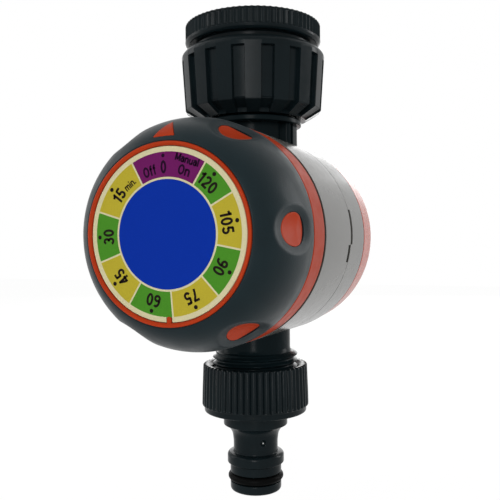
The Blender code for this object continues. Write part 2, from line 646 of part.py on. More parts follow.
def make_housing():
    hole, slot, below = neck_cutter()
    edge = 0.0005
    lip_r = BODY_INNER_R - GAP
    lip_front = SEAM_Y - LIP_REACH
    front_end = SEAM_Y - SEAM_GAP / 2
    rear_start = SEAM_Y + SEAM_GAP / 2
    front = stand_on_y(turned("front_shell", [
        (BODY_R, front_end), (BODY_R - 0.0003, FRONT_Y + edge), (BODY_R - 0.0003 - edge, FRONT_Y),
        (DRUM_R, FRONT_Y), (DRUM_R, DRUM_FRONT_Y + edge), (DRUM_R - edge, DRUM_FRONT_Y),
        (SPINDLE_R + GAP, DRUM_FRONT_Y), (SPINDLE_R + GAP, DRUM_FRONT_Y + DRUM_WALL),
        (DRUM_INNER_R, DRUM_FRONT_Y + DRUM_WALL), (DRUM_INNER_R, FRONT_WALL_BACK),
        (BODY_INNER_R, FRONT_WALL_BACK), (BODY_INNER_R, front_end)], GREY, ROUND))
    front_bosses = stand_on_y(cylinders("front_bosses", screw_places(), BOSS_R, FRONT_WALL_BACK - 0.001,
                                        lip_front - GAP, sides=8))
    front_pilots = stand_on_y(cylinders("front_pilots", screw_places(), SCREW_R + GAP,
                                        lip_front - 0.0130, lip_front + 0.001, sides=6))
    boolean(front, front_bosses, "UNION")
    boolean(front, front_pilots)

    rear = stand_on_y(turned("rear_shell", [
        (BODY_R + 0.0002, REAR_BACK_Y), (BODY_R, rear_start), (lip_r, rear_start), (lip_r, lip_front),
        (lip_r - LIP_WALL, lip_front), (lip_r - LIP_WALL, rear_start + 0.002),
        (BODY_INNER_R, rear_start + 0.004), (BODY_INNER_R, REAR_BACK_Y)], GREY, ROUND))
    rear_bosses = stand_on_y(cylinders("rear_bosses", screw_places(), BOSS_R, lip_front, REAR_BACK_Y,
                                       sides=8))
    rear_holes = stand_on_y(cylinders("rear_holes", screw_places(), SCREW_R + GAP, lip_front - 0.001,
                                      REAR_BACK_Y + 0.001, sides=6))
    boolean(rear, rear_bosses, "UNION")
    boolean(rear, rear_holes)
    for shell in (front, rear):
        for cutter in (hole, slot, below):
            boolean(shell, cutter)
    boolean(rear, pry_slot("upper_slot", 75.7, 95.1, rear_start - 0.001, rear_start + SLOT_WIDTH))
    boolean(front, pry_slot("lower_slot", 95.4, 105.0, front_end - SLOT_WIDTH, front_end + 0.001))

    back_r = BODY_R + 0.0001
    end_r = BODY_R - 0.0005
    cover_profile = [(0, BACK_Y)]
    cover_profile += arc((end_r - COVER_ROUND, BACK_Y - COVER_ROUND), COVER_ROUND, 90, 0, 3)
    inner_r = back_r - BODY_WALL
    cover_profile += [(back_r, COVER_FRONT_Y), (inner_r, COVER_FRONT_Y),
                      (inner_r - 0.0005, BACK_Y - COVER_ROUND),
                      (inner_r - 0.0025, BACK_Y - BODY_WALL), (0, BACK_Y - BODY_WALL)]
    cover = stand_on_y(turned("back_cover", cover_profile, ORANGE, ROUND))
    head_y = BACK_Y - SCREW_RECESS
    posts = stand_on_y(cylinders("cover_posts", screw_places(), SCREW_HEAD_R + GAP + 0.0012, COVER_FRONT_Y,
                                 BACK_Y - BODY_WALL / 2, sides=10))
    wells = stand_on_y(cylinders("cover_wells", screw_places(), SCREW_HEAD_R + GAP,
                                 head_y - SCREW_HEAD, BACK_Y + 0.002, sides=10))
    holes = stand_on_y(cylinders("cover_holes", screw_places(), SCREW_R + GAP, COVER_FRONT_Y - 0.001,
                                 BACK_Y, sides=6))
    trim = stand_on_y(turned("cover_trim", [
        (BODY_R * 1.3, BACK_Y + 0.003), (BODY_R * 1.3, COVER_FRONT_Y - 0.003),
        (inner_r + 0.0006, COVER_FRONT_Y - 0.003), (inner_r + 0.0006, BACK_Y - 0.003)], None, ROUND))
    boolean(posts, trim)
    boolean(cover, posts, "UNION")
    boolean(cover, wells)
    boolean(cover, holes)
    for i, (x, y) in enumerate(screw_places(), 1):
        length = head_y - SCREW_HEAD - lip_front + 0.0110
        fixing = screw("cover_screw_" + str(i), SCREW_HEAD_R, SCREW_HEAD, SCREW_R, length)
        fixing.rotation_euler = (math.pi / 2, 0, 0)
        fixing.location = (x, head_y - SCREW_HEAD + GAP, KNOB_Z - y)


# ---------------------------------------------------------------- outlet


def make_outlet():
    edge = 0.0005
    groove_r = ORING_R - ORING_SECTION - GAP
    fillet = []
    count = 3
    drop = NIPPLE_FILLET * 0.9
    for i in range(count + 1):
        angle = math.pi / 2 * i / count
        fillet.append((NIPPLE_NECK_R + 0.0015 * (1 - math.sin(angle)),
                       FLANGE_END - (NIPPLE_FILLET - drop) - drop * (1 - math.cos(angle))))
    profile = [
        (ADAPTOR_TOP_R - edge, ADAPTOR_TOP), (ADAPTOR_TOP_R, ADAPTOR_TOP - edge), (ADAPTOR_R, RIB_END + edge),
        (BASE_RING_R + 0.0002, RIB_END), (BASE_RING_R, BASE_END + edge), (BASE_RING_R - edge, BASE_END),
        (NIPPLE_FLANGE_R, BASE_END), (NIPPLE_FLANGE_R, FLANGE_END + edge),
        (NIPPLE_FLANGE_R - edge, FLANGE_END)]
    profile += fillet
    profile += [
        (COLLAR_R - edge, COLLAR_TOP), (COLLAR_R, COLLAR_TOP - edge),
        (COLLAR_R, COLLAR_END + edge), (COLLAR_R - edge, COLLAR_END), (STEP_R - 0.0006, COLLAR_END),
        (STEP_R, STEP_TOP), (STEP_R, GROOVE_TOP),
        (groove_r, GROOVE_TOP), (groove_r, GROOVE_END), (STEP_R, GROOVE_END),
        (STEP_R, TIP_END + 2 * edge), (STEP_R - 2 * edge, TIP_END), (NIPPLE_BORE_R, TIP_END),
        (NIPPLE_BORE_R, ADAPTOR_FLOOR), (SOCKET_R, ADAPTOR_FLOOR), (SOCKET_R, ADAPTOR_TOP - 2 * edge),
        (SOCKET_R + 2 * edge, ADAPTOR_TOP)]
    adaptor = turned("tap_adaptor", profile, BLACK, 24)
    places = circle(ADAPTOR_R + 0.00035, ADAPTOR_RIBS, start=math.pi / ADAPTOR_RIBS)
    grooves = cylinders("adaptor_grooves", places, 0.00078, RIB_END + 0.0004, ADAPTOR_TOP + 0.001, sides=4)
    boolean(adaptor, grooves)
    torus("nipple_oring", ORING_R, ORING_SECTION, (GROOVE_TOP + GROOVE_END) / 2)
    washer("outlet_washer", THREAD_CORE_R + 2 * GAP, WATERWAY_R, THREAD_END - GAP - OUTLET_WASHER,
           THREAD_END - GAP)


# ---------------------------------------------------------------- knob


def knob_place(angle, radius, y, tilt):
    """Local axes on the knob: X across, Y back along the surface and Z outwards, tilted forward."""
    across = Vector((math.cos(angle), 0, -math.sin(angle)))
    radial = Vector((math.sin(angle), 0, math.cos(angle)))
    back = Vector((0, 1, 0))
    out = math.cos(tilt) * radial - math.sin(tilt) * back
    along = math.sin(tilt) * radial + math.cos(tilt) * back
    place = Matrix((across, along, out)).transposed().to_4x4()
    place.translation = radial * radius + back * y
    return place


def dome_radius(y, inset=0.0):
    """Radius of the dome's surface at y, or of one that lies inset below it."""
    share = min(1.0, max(0.0, (DOME_Y - y) / (DOME_REACH - inset)))
    return DOME_CENTRE_R + (DOME_RISE - inset) * math.sqrt(1 - share ** 2)


def dome_profile(inset, end_r, count=9):
    """(radius, y) down the dome from its back to where it reaches end_r."""
    last = math.acos((end_r - DOME_CENTRE_R) / (DOME_RISE - inset))
    return [(DOME_CENTRE_R + (DOME_RISE - inset) * math.cos(last * i / count),
             DOME_Y - (DOME_REACH - inset) * math.sin(last * i / count)) for i in range(count + 1)]


# the facets of a scoop or an oval start off the dome's own facet lines
FACET_SPIN = Matrix.Rotation(0.11, 4, "Z")


def scoop_angles():
    return [TURN * (i + 0.5) / SCOOPS for i in range(SCOOPS)]


def scoops(name, pivot):
    """The six ellipsoids that hollow the dome for the fingertips."""
    bm = bmesh.new()
    lift = SCOOP_SIZE[2] - SCOOP_DEPTH
    surface = dome_radius(SCOOP_CENTRE_Y)
    size = Matrix.Diagonal((*SCOOP_SIZE, 1)) @ FACET_SPIN
    for angle in scoop_angles():
        place = knob_place(angle, surface, SCOOP_CENTRE_Y, SCOOP_TILT)
        bmesh.ops.create_uvsphere(bm, u_segments=14, v_segments=8, radius=1,
                                  matrix=place @ Matrix.Translation((0, 0, lift)) @ size)
    return on_knob(add(name, mesh_from(name, bm), None), pivot)


def windows(name, grow, pivot):
    """Prisms through the grip: an oval in each scoop and the triangle at the top."""
    bm = bmesh.new()
    surface = dome_radius(SCOOP_CENTRE_Y)
    bottom = -(GRIP_THICK + GAP + PAD_ROOT)
    height = 0.010
    for angle in scoop_angles():
        place = knob_place(angle, surface, SCOOP_CENTRE_Y, SCOOP_TILT)
        move = Matrix.Translation((0, PAD_SHIFT, bottom - grow + height / 2))
        size = Matrix.Diagonal((PAD_SIZE[0] + grow, PAD_SIZE[1] + grow, 1, 1)) @ FACET_SPIN
        bmesh.ops.create_cone(bm, cap_ends=True, segments=12, radius1=1, radius2=1, depth=height,
                              matrix=place @ move @ size)
    mark_y = DOME_Y - DOME_REACH * math.sqrt(1 - ((MARK_R - DOME_CENTRE_R) / DOME_RISE) ** 2)
    tilt = math.atan2((DOME_Y - mark_y) / DOME_REACH ** 2, (MARK_R - DOME_CENTRE_R) / DOME_RISE ** 2)
    place = knob_place(0, MARK_R, mark_y, tilt)
    low = -(GRIP_THICK + 4 * GAP) - grow
    base = -MARK_HEIGHT / 2 - grow
    tip = MARK_HEIGHT / 2 + 2 * grow
    half = MARK_HALF + 1.4 * grow
    corners = [(-half, base), (half, base), (0, tip)]
    lower = [bm.verts.new(place @ Vector((x, y, low))) for x, y in corners]
    upper = [bm.verts.new(place @ Vector((x, y, height / 2))) for x, y in corners]
    bm.faces.new(lower)
    bm.faces.new(upper)
    for i in range(3):
        j = (i + 1) % 3
        bm.faces.new((lower[i], lower[j], upper[j], upper[i]))
    return on_knob(add(name, mesh_from(name, bm), None), pivot)


def on_knob(thing, pivot):
    thing.parent = pivot
    return thing


def d_section(grow):
    """The spindle's flatted end, a little under its full diameter, seen along the axis."""
    radius = SPINDLE_R - 0.0001 + grow
    reach = math.acos((SPINDLE_FLAT + grow) / radius)
    angles = [reach + (TURN - 2 * reach) * i / 12 for i in range(13)]
    return [(radius * math.sin(angle), -radius * math.cos(angle)) for angle in angles]


def make_knob():
    pivot = bpy.data.objects.new("knob_pivot", None)
    PARTS.objects.link(pivot)
    pivot.location = (0, 0, KNOB_Z)
    pivot.rotation_euler = (0, REST_TURN, 0)
    inset = GRIP_THICK + GAP

    ring_hole_r = RING_R + GAP
    grip_profile = [(KNOB_R, GRIP_BACK_Y)] + dome_profile(0, ring_hole_r, 6)
    grip_profile += dome_profile(GRIP_THICK, ring_hole_r, 3)[::-1]
    grip_profile += [(KNOB_R - GRIP_THICK, GRIP_BACK_Y)]
    grip = stand_on_y(turned("knob_grip", grip_profile, GRIP, ROUND), parent=pivot)
    boolean(grip, scoops("scoops", pivot))
    boolean(grip, windows("window_holes", GAP, pivot))

    envelope = stand_on_y(turned("dome_envelope", [(0, GRIP_BACK_Y), (KNOB_R, GRIP_BACK_Y)]
                                 + dome_profile(0, RING_R, 6) + [(0, RING_Y)], None, ROUND), parent=pivot)
    boolean(envelope, bpy.data.objects["scoops"])

    band_front = GRIP_BACK_Y + GAP
    core_r = KNOB_R - inset
    edge = 0.0004
    cavity_front = RECESS_Y + KNOB_WALL
    drum_room = DRUM_R + DRUM_CLEARANCE
    cavity_turn = cavity_front + 0.0042
    profile = [
        (KNOB_R, KNOB_BACK_Y), (KNOB_R, band_front), (core_r, band_front)]
    profile += dome_profile(inset, RING_R, 3)
    profile += [
        (RING_R, RING_Y), (RING_R - edge, RING_FRONT_Y), (DIAL_R + 0.0004, RING_FRONT_Y),
        (DIAL_R + GAP, DIAL_FACE_Y), (DIAL_R + GAP, RECESS_Y), (HUB_WELL_R, RECESS_Y),
        (HUB_WELL_R, RECESS_Y + HUB_WELL), (HUB_HOLE_R, RECESS_Y + HUB_WELL),
        (HUB_HOLE_R, HUB_BACK_Y), (HUB_R, HUB_BACK_Y), (HUB_R, cavity_front),
        (DIAL_R - 0.0022, cavity_front), (drum_room, cavity_turn), (drum_room, band_front + KNOB_WALL),
        (KNOB_R - KNOB_WALL, band_front + 2 * KNOB_WALL), (KNOB_R - KNOB_WALL, KNOB_BACK_Y)]
    shell = stand_on_y(turned("knob_shell", profile, ORANGE, ROUND), parent=pivot)
    pads = windows("pads", 0, pivot)
    boolean(pads, envelope, "INTERSECT")
    boolean(shell, pads, "UNION")
    key = box("dial_key", (-KEY_WIDTH / 2, RECESS_Y - GAP - DIAL_THICK, -DIAL_R - 0.0006),
              (KEY_WIDTH / 2, RECESS_Y + 0.0005, -DIAL_R + KEY_LENGTH))
    boolean(shell, on_knob(key, pivot), "UNION")
    socket = plate("spindle_socket", [d_section(GAP)], HUB_BACK_Y - RECESS_Y - HUB_WEB + 2 * GAP, None)
    socket.data.transform(Matrix.Translation((0, 0, RECESS_Y + HUB_WEB)))
    boolean(shell, stand_on_y(socket, parent=pivot))

    dial = stand_on_y(turned("dial_label", [
        (0, DIAL_FACE_Y + DIAL_THICK), (DIAL_R, DIAL_FACE_Y + DIAL_THICK), (DIAL_R, DIAL_FACE_Y),
        (0, DIAL_FACE_Y)], PAPER, ROUND), parent=pivot)
    notch = box("dial_notch", (-KEY_WIDTH / 2 - GAP, DIAL_FACE_Y - 0.001, -DIAL_R - 0.002),
                (KEY_WIDTH / 2 + GAP, DIAL_FACE_Y + 0.002, -DIAL_R + KEY_LENGTH + GAP))
    boolean(dial, on_knob(notch, pivot))
    make_spindle(pivot)


def make_spindle(pivot):
    front = RECESS_Y + HUB_WEB + GAP
    d_end = HUB_BACK_Y + GAP
    tip = ROTOR_Y + ROTOR * 0.7
    spindle = stand_on_y(turned("knob_spindle", [
        (0, tip), (SPINDLE_NOSE_R, tip), (SPINDLE_NOSE_R, ROTOR_Y - GAP), (SPINDLE_R, ROTOR_Y - GAP),
        (SPINDLE_R, d_end), (0, d_end)], STEEL, 16), parent=pivot)
    flat = plate("spindle_flat", [d_section(0)], d_end - front + 0.0005, None)
    flat.data.transform(Matrix.Translation((0, 0, front)))
    boolean(spindle, stand_on_y(flat, parent=pivot), "UNION")
    tapped = stand_on_y(cylinders("spindle_thread", [(0, 0)], 0.0009, front - 0.001, front + 0.0065,
                                  sides=8), parent=pivot)
    boolean(spindle, tapped)
    head_r = HUB_WELL_R - GAP
    head_back = RECESS_Y + HUB_WELL - GAP
    fixing = turned("knob_screw", [
        (0, front + 0.0050), (0.0006, front + 0.0050), (0.0006, head_back), (head_r, head_back),
        (head_r, RECESS_Y + GAP / 2), (head_r * 0.7, RECESS_Y), (0, RECESS_Y)], STEEL, 12)
    stand_on_y(fixing, parent=pivot)
    great = wheel("great_wheel", GREAT_TEETH, WHEEL_THICK, SPINDLE_R + GAP / 2)
    great.data.transform(Matrix.Translation((0, 0, great_wheel_y())))
    stand_on_y(great, parent=pivot)
    make_rotor(pivot)


def make_rotor(pivot):
    """The turning valve disc: its curved slot uncovers the port except round the Off position."""
    count = 20
    sweep = TURN - CLOSED_WINDING - CLOSED_MANUAL
    angles = [CLOSED_WINDING + sweep * i / count for i in range(count + 1)]
    slot = [((PORT_OFFSET + PORT_R) * math.sin(a), (PORT_OFFSET + PORT_R) * math.cos(a)) for a in angles]
    slot += [((PORT_OFFSET - PORT_R) * math.sin(a), (PORT_OFFSET - PORT_R) * math.cos(a))
             for a in reversed(angles)]
    hub = circle(SPINDLE_NOSE_R + GAP, 16)
    rotor = plate("valve_rotor", [circle(CHAMBER_INNER_R - 2 * GAP, FINE), slot, hub], ROTOR, CERAMIC)
    rotor.data.transform(Matrix.Translation((0, 0, ROTOR_Y)))
    stand_on_y(rotor, parent=pivot)


# ---------------------------------------------------------------- clockwork


def great_wheel_y():
    return PLATE_REAR_Y - 0.0048


def tooth_outline(teeth, phase=0.0):
    """A wheel's rim with slim pointed teeth, which leave running backlash."""
    pitch_r = MODULE * teeth / 2
    points = []
    for i in range(teeth):
        for share, radius in ((0, pitch_r + ADDENDUM * MODULE), (0.5, pitch_r - DEDENDUM * MODULE)):
            angle = TURN * (i + phase + share) / teeth
            points.append((radius * math.cos(angle), radius * math.sin(angle)))
    return points


def mesh_phase(driver_teeth, driver_turn, line, pinion_teeth):
    """Phase of a pinion whose tooth gaps take the driver's teeth; line is the direction from the
    driver's centre to the pinion's."""
    tooth_off_line = (driver_turn - line) / TURN * driver_teeth
    return (line + math.pi) / TURN * pinion_teeth - tooth_off_line - 0.5


def wheel(name, teeth, thickness, hole_r, colour=BRASS, phase=0.0):
    return plate(name, [tooth_outline(teeth, phase=phase), circle(hole_r, 16)], thickness, colour)


def arbor_places():
    """(x, z) of the idler, the escape wheel and the balance, from the knob's axis."""
    idler = Vector((IDLER_DISTANCE, 0))
    toward = math.radians(100)
    escape = idler + ESCAPE_DISTANCE * Vector((math.cos(toward), math.sin(toward)))
    balance = Vector((escape.x - 0.0083, escape.y + 0.0057))
    return idler, escape, balance


def arbor(name, pinion_teeth, pinion_low, pinion_high, wheel_tool, phase):
    """A steel arbor with its pinion cut in it, and the brass wheel fixed on it."""
    low = PLATE_FRONT_Y + GAP
    high = PLATE_REAR_Y + PLATE - GAP
    made = turned(name, [(0, high), (ARBOR_R, high), (ARBOR_R, low), (0, low)], BRASS, 8)
    outline = tooth_outline(pinion_teeth, phase=phase)
    teeth = plate(name + "_pinion", [outline], pinion_high - pinion_low, None)
    teeth.data.transform(Matrix.Translation((0, 0, pinion_low)))
    boolean(made, teeth, "UNION")
    boolean(made, wheel_tool, "UNION")
    for tool in (teeth, wheel_tool):
        tool.parent = made
    return made


def make_clockwork():
    idler_at, escape_at, balance_at = arbor_places()
    great_y = great_wheel_y()
    idler_y = great_y + WHEEL_THICK + 0.0010
    escape_y = great_y - 0.0006 - WHEEL_THICK

    idler_wheel = plate("idler_rim", [tooth_outline(IDLER_TEETH)], WHEEL_THICK, None)
    idler_wheel.data.transform(Matrix.Translation((0, 0, idler_y)))
    idler = arbor("idler_wheel", IDLER_PINION, great_y - 0.0004, idler_y + 0.0002, idler_wheel,
                  mesh_phase(GREAT_TEETH, REST_TURN, 0, IDLER_PINION))
    stand_on_y(idler, idler_at.x, KNOB_Z + idler_at.y)

    saw = []
    for i in range(ESCAPE_TEETH):
        base = TURN * i / ESCAPE_TEETH
        saw.append((ESCAPE_R * math.cos(base), ESCAPE_R * math.sin(base)))
        root = base + TURN * 0.25 / ESCAPE_TEETH
        saw.append((ESCAPE_R * 0.72 * math.cos(root), ESCAPE_R * 0.72 * math.sin(root)))
        heel = base + TURN * 0.7 / ESCAPE_TEETH
        saw.append((ESCAPE_R * 0.80 * math.cos(heel), ESCAPE_R * 0.80 * math.sin(heel)))
    escape_rim = plate("escape_rim", [saw], WHEEL_THICK, None)
    escape_rim.data.transform(Matrix.Translation((0, 0, escape_y)))
    line = -math.atan2(escape_at.y - idler_at.y, escape_at.x - idler_at.x)
    escape = arbor("escape_wheel", ESCAPE_PINION, escape_y + 0.0002, idler_y + WHEEL_THICK + 0.0004,
                   escape_rim, mesh_phase(IDLER_TEETH, 0, line, ESCAPE_PINION))
    stand_on_y(escape, escape_at.x, KNOB_Z + escape_at.y)

    make_balance(balance_at, escape_at, escape_y)
    make_plates(idler_at, escape_at, balance_at)
    make_mainspring()


def make_balance(balance_at, escape_at, escape_y):
    low = PLATE_FRONT_Y + GAP
    high = PLATE_REAR_Y + PLATE - GAP
    balance = turned("balance_wheel", [(0, high), (ARBOR_R, high), (ARBOR_R, low), (0, low)], BRASS, 8)
    rim_y = escape_y - 0.0030
    rim = plate("balance_rim", [circle(BALANCE_R, 20), circle(BALANCE_R - 0.0009, 20)], WHEEL_THICK, None)
    rim.data.transform(Matrix.Translation((0, 0, rim_y)))
    spoke = box("balance_spoke", (-BALANCE_R + 0.0004, -0.0006, rim_y + 0.0001),
                (BALANCE_R - 0.0004, 0.0006, rim_y + WHEEL_THICK - 0.0001))
    gap = escape_at - balance_at
    reach = gap.length - ESCAPE_R - 2 * GAP
    lever = box("pallet_lever", (-0.0009, -0.0005, escape_y), (reach, 0.0005, escape_y + WHEEL_THICK))
    lever.rotation_euler = (0, 0, math.atan2(-gap.y, gap.x))
    for tool in (rim, spoke, lever):
        boolean(balance, tool, "UNION")
        tool.parent = balance
    stand_on_y(balance, balance_at.x, KNOB_Z + balance_at.y)


def make_plates(*arbors):
    plate_r = DRUM_INNER_R - GAP
    holes = [circle(ARBOR_R + GAP, 8, (at.x, -at.y)) for at in arbors]
    for name, low in (("movement_front_plate", PLATE_FRONT_Y), ("movement_rear_plate", PLATE_REAR_Y)):
        outline = [circle(plate_r, 32), circle(SPINDLE_R + GAP, 12)] + holes
        made = plate(name, outline, PLATE, BRASS)
        made.data.transform(Matrix.Translation((0, 0, low)))
        stand_on_y(made)
    low = PLATE_FRONT_Y + PLATE + GAP
    high = PLATE_REAR_Y - GAP
    for i in range(3):
        angle = math.radians(30 + 120 * i)
        x = PILLAR_CIRCLE_R * math.sin(angle)
        z = PILLAR_CIRCLE_R * math.cos(angle)
        pillar = turned("movement_pillar_" + str(i + 1), [
            (0, high), (PILLAR_R, high), (PILLAR_R, high - 0.0012), (PILLAR_R * 0.75, high - 0.0018),
            (PILLAR_R * 0.75, low + 0.0018), (PILLAR_R, low + 0.0012), (PILLAR_R, low), (0, low)],
            STEEL, 8)
        stand_on_y(pillar, x, KNOB_Z + z)


def make_mainspring():
    """A flat steel spiral round the spindle, open strip thickened by Solidify."""
    low = PLATE_FRONT_Y + PLATE + 0.0008
    first = SPINDLE_R + 2 * GAP
    last = arbor_places()[2].length - BALANCE_R - SPRING_ROOM
    count = 12 * SPRING_TURNS
    bm = bmesh.new()
    rows = []
    for i in range(count + 1):
        angle = TURN * SPRING_TURNS * i / count
        radius = first + (last - first) * i / count
        x = radius * math.cos(angle)
        y = radius * math.sin(angle)
        rows.append((bm.verts.new((x, y, low)), bm.verts.new((x, y, low + SPRING_WIDTH))))
    for (a, b), (c, d) in zip(rows, rows[1:]):
        bm.faces.new((a, c, d, b))
    mesh = bpy.data.meshes.new("mainspring")
    bm.to_mesh(mesh)
    bm.free()
    spring = add("mainspring", mesh, STEEL)
    solid = spring.modifiers.new("strip", "SOLIDIFY")
    solid.thickness = 0.00035
    solid.offset = 1.0
    stand_on_y(spring)


make_reducer()
make_inlet_seals()
make_swivel_nut()
make_valve_body()
make_valve()
make_housing()
make_outlet()
make_knob()
make_clockwork()
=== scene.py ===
"""Looks of the mechanical water timer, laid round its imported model.

The pipe runs along Z: reducer and swivel nut above, tap adaptor and nipple below.  The knob and the
housing are turned about the knob's axis, which runs along Y at KNOB_Z.  Sizes are in metres.
"""

import math

import bmesh
import bpy
import numpy as np
from mathutils import Matrix, Vector


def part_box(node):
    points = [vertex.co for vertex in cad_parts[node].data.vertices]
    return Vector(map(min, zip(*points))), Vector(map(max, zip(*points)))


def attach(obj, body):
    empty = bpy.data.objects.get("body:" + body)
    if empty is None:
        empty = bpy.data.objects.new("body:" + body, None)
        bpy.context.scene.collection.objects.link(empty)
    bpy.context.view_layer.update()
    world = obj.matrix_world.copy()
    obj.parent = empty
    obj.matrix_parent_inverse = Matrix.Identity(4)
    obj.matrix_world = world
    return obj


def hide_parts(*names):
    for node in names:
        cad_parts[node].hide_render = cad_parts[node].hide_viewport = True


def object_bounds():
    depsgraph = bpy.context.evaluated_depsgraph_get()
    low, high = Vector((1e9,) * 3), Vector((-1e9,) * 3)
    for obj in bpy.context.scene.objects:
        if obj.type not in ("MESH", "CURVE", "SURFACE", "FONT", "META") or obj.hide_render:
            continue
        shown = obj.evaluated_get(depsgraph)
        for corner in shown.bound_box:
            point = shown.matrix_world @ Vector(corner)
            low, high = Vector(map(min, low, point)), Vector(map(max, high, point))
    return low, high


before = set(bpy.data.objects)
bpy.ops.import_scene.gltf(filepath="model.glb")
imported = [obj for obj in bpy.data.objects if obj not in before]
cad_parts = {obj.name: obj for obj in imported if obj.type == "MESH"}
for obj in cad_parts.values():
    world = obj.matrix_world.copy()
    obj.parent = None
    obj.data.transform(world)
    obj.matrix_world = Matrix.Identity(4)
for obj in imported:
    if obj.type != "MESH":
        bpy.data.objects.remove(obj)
CAD_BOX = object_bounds()

TURN = 2 * math.pi
EDGE = 0.0003                       # usual rounding of a moulded edge
GAP = 0.0003                        # clearance between two pieces
KNOB_Z = -0.0645
KNOB_TURN = math.radians(-2)        # how the knob stands at rest, clockwise from the front
PIPE_PITCH = 0.001814               # three-quarter inch pipe thread
INCH_PITCH = 0.002309               # one inch pipe thread
PIPE_BORE_R = 0.0065                # waterway through the spigot, the outlet and its gasket


# ---------------------------------------------------------------- shapes


def smoothstep(low, high, x):
    """0 below low, 1 above high, and 3t^2 - 2t^3 between them."""
    t = np.clip((x - low) / (high - low), 0, 1)
    return t * t * (3 - 2 * t)


def round_turn(count):
    """Angles that share a full turn evenly."""
    return np.arange(count) * TURN / count


def ellipse(x, y, across, up, angle):
    """Points at angles on an ellipse round (x, y), anticlockwise from the right."""
    return np.column_stack([x + across * np.cos(angle), y + up * np.sin(angle)])


def points_at(x, y, z):
    """An array of points from their coordinates, each a number or an array."""
    return np.stack(np.broadcast_arrays(x, y, z), axis=-1)


def rounded(corners, closed=True, steps=4):
    """A profile through corners (across, along, rounding).  Each corner is replaced by the parabola
    that leaves one side and joins the other at the rounding's distance from the corner."""
    points = np.array([corner[:2] for corner in corners], float)
    size = np.array([corner[2] if len(corner) > 2 else EDGE for corner in corners])
    come = points - np.roll(points, 1, axis=0)
    leave = np.roll(points, -1, axis=0) - points
    come_length = np.linalg.norm(come, axis=1, keepdims=True)
    leave_length = np.linalg.norm(leave, axis=1, keepdims=True)
    reach = np.minimum(size[:, None], 0.48 * np.minimum(come_length, leave_length))
    if not closed:
        reach[[0, -1]] = 0
    start = points - come / come_length * reach
    end = points + leave / leave_length * reach
    u = np.linspace(0, 1, steps + 1)[None, :, None]
    curve = (1 - u) ** 2 * start[:, None] + 2 * u * (1 - u) * points[:, None] + u * u * end[:, None]
    curve = curve.reshape(-1, 2)
    apart = np.linalg.norm(np.diff(curve, axis=0, prepend=curve[-1:] + 1), axis=1) > 1e-8
    return curve[apart]


def filled(profile, spacing, closed=True):
    """The profile with points added so that none of its steps is longer than the spacing.  A long
    run also gets a point close to each end, which holds the shading of the edges beside it."""
    hold = 0.0001
    ends = np.vstack([profile, profile[:1]]) if closed else profile
    runs = []
    for a, b in zip(ends, ends[1:]):
        length = np.linalg.norm(b - a)
        count = max(1, math.ceil(length / spacing))
        share = np.arange(count) / count
        if length > 8 * hold:
            share = np.unique(np.concatenate([share, [hold / length, 1 - hold / length]]))
        runs.append(a + (b - a) * share[:, None])
    if not closed:
        runs.append(ends[-1:])
    return np.vstack(runs)


def outward(profile, closed=True):
    """Unit normals of a profile that runs down its outer side."""
    if closed:
        along = np.roll(profile, -1, axis=0) - np.roll(profile, 1, axis=0)
    else:
        along = np.gradient(profile, axis=0)
    along /= np.linalg.norm(along, axis=1, keepdims=True) + 1e-12
    return np.stack([-along[:, 1], along[:, 0]], axis=1)


def surface(points, wrap_rows=False, wrap_columns=True):
    """Vertices and quads of a (rows, columns, 3) array of points, joined round where asked."""
    rows, columns = points.shape[:2]
    index = np.arange(rows * columns).reshape(rows, columns)
    if wrap_rows:
        index = np.vstack([index, index[:1]])
    if wrap_columns:
        index = np.hstack([index, index[:, :1]])
    quads = np.stack([index[:-1, :-1], index[1:, :-1], index[1:, 1:], index[:-1, 1:]], axis=-1)
    return points.reshape(-1, 3), quads.reshape(-1, 4)


def around_pipe(radius, angle, height):
    """Points at a radius and an angle from +X round the pipe's axis."""
    return points_at(radius * np.cos(angle), radius * np.sin(angle), height)


def around_knob(radius, angle, y):
    """Points at a radius and an angle clockwise from the top round the knob's axis."""
    return points_at(radius * np.sin(angle), y, KNOB_Z + radius * np.cos(angle))


def turned(profile, columns, place=around_pipe, offset=None, closed=True):
    """A profile (radius, height) carried round an axis.  offset gives how far each point stands out
    along the profile's normal, from the angle, the radius and the height."""
    angle = columns if isinstance(columns, np.ndarray) else round_turn(columns)
    angle = angle[None, :]
    radius = profile[:, :1]
    height = profile[:, 1:]
    if offset is not None:
        normal = outward(profile, closed)
        out = offset(angle, radius, height)
        radius, height = radius + normal[:, :1] * out, height + normal[:, 1:] * out
    return surface(place(radius, angle, height), wrap_rows=closed)


def lofted(outline, heights):
    """A closed outline (x, y) carried up the pipe's axis through the heights.  The two ends are
    open here, and are filled when the mesh is cleaned."""
    rings = np.stack([np.column_stack([outline, np.full(len(outline), h)]) for h in heights])
    return surface(rings)


def thread(angle, height, pitch, crest_at, low, high, lead=0.0006):
    """A right-hand thread's rounded ridge, 0 at the root to 1 at the crest: a raised cosine of the
    height less the helix, faded out at both ends.  crest_at is (angle, height) of one crest, and
    lead is how much height the upper end takes to rise."""
    phase = (height - crest_at[1]) / pitch - (angle - crest_at[0]) / TURN
    ridge = (0.5 + 0.5 * np.cos(TURN * phase)) ** 1.3
    rise = smoothstep(low, low + 0.0006, height)
    return ridge * rise * (1 - smoothstep(high - lead, high, height))


def merged_mesh(name, surfaces):
    """One clean mesh of several surfaces."""
    verts = np.vstack([s[0] for s in surfaces])
    start = np.cumsum([0] + [len(s[0]) for s in surfaces[:-1]])
    quads = np.vstack([s[1] + first for s, first in zip(surfaces, start)])
    mesh = bpy.data.meshes.new(name)
    mesh.from_pydata(verts.tolist(), [], quads.tolist())
    return cleaned(mesh)


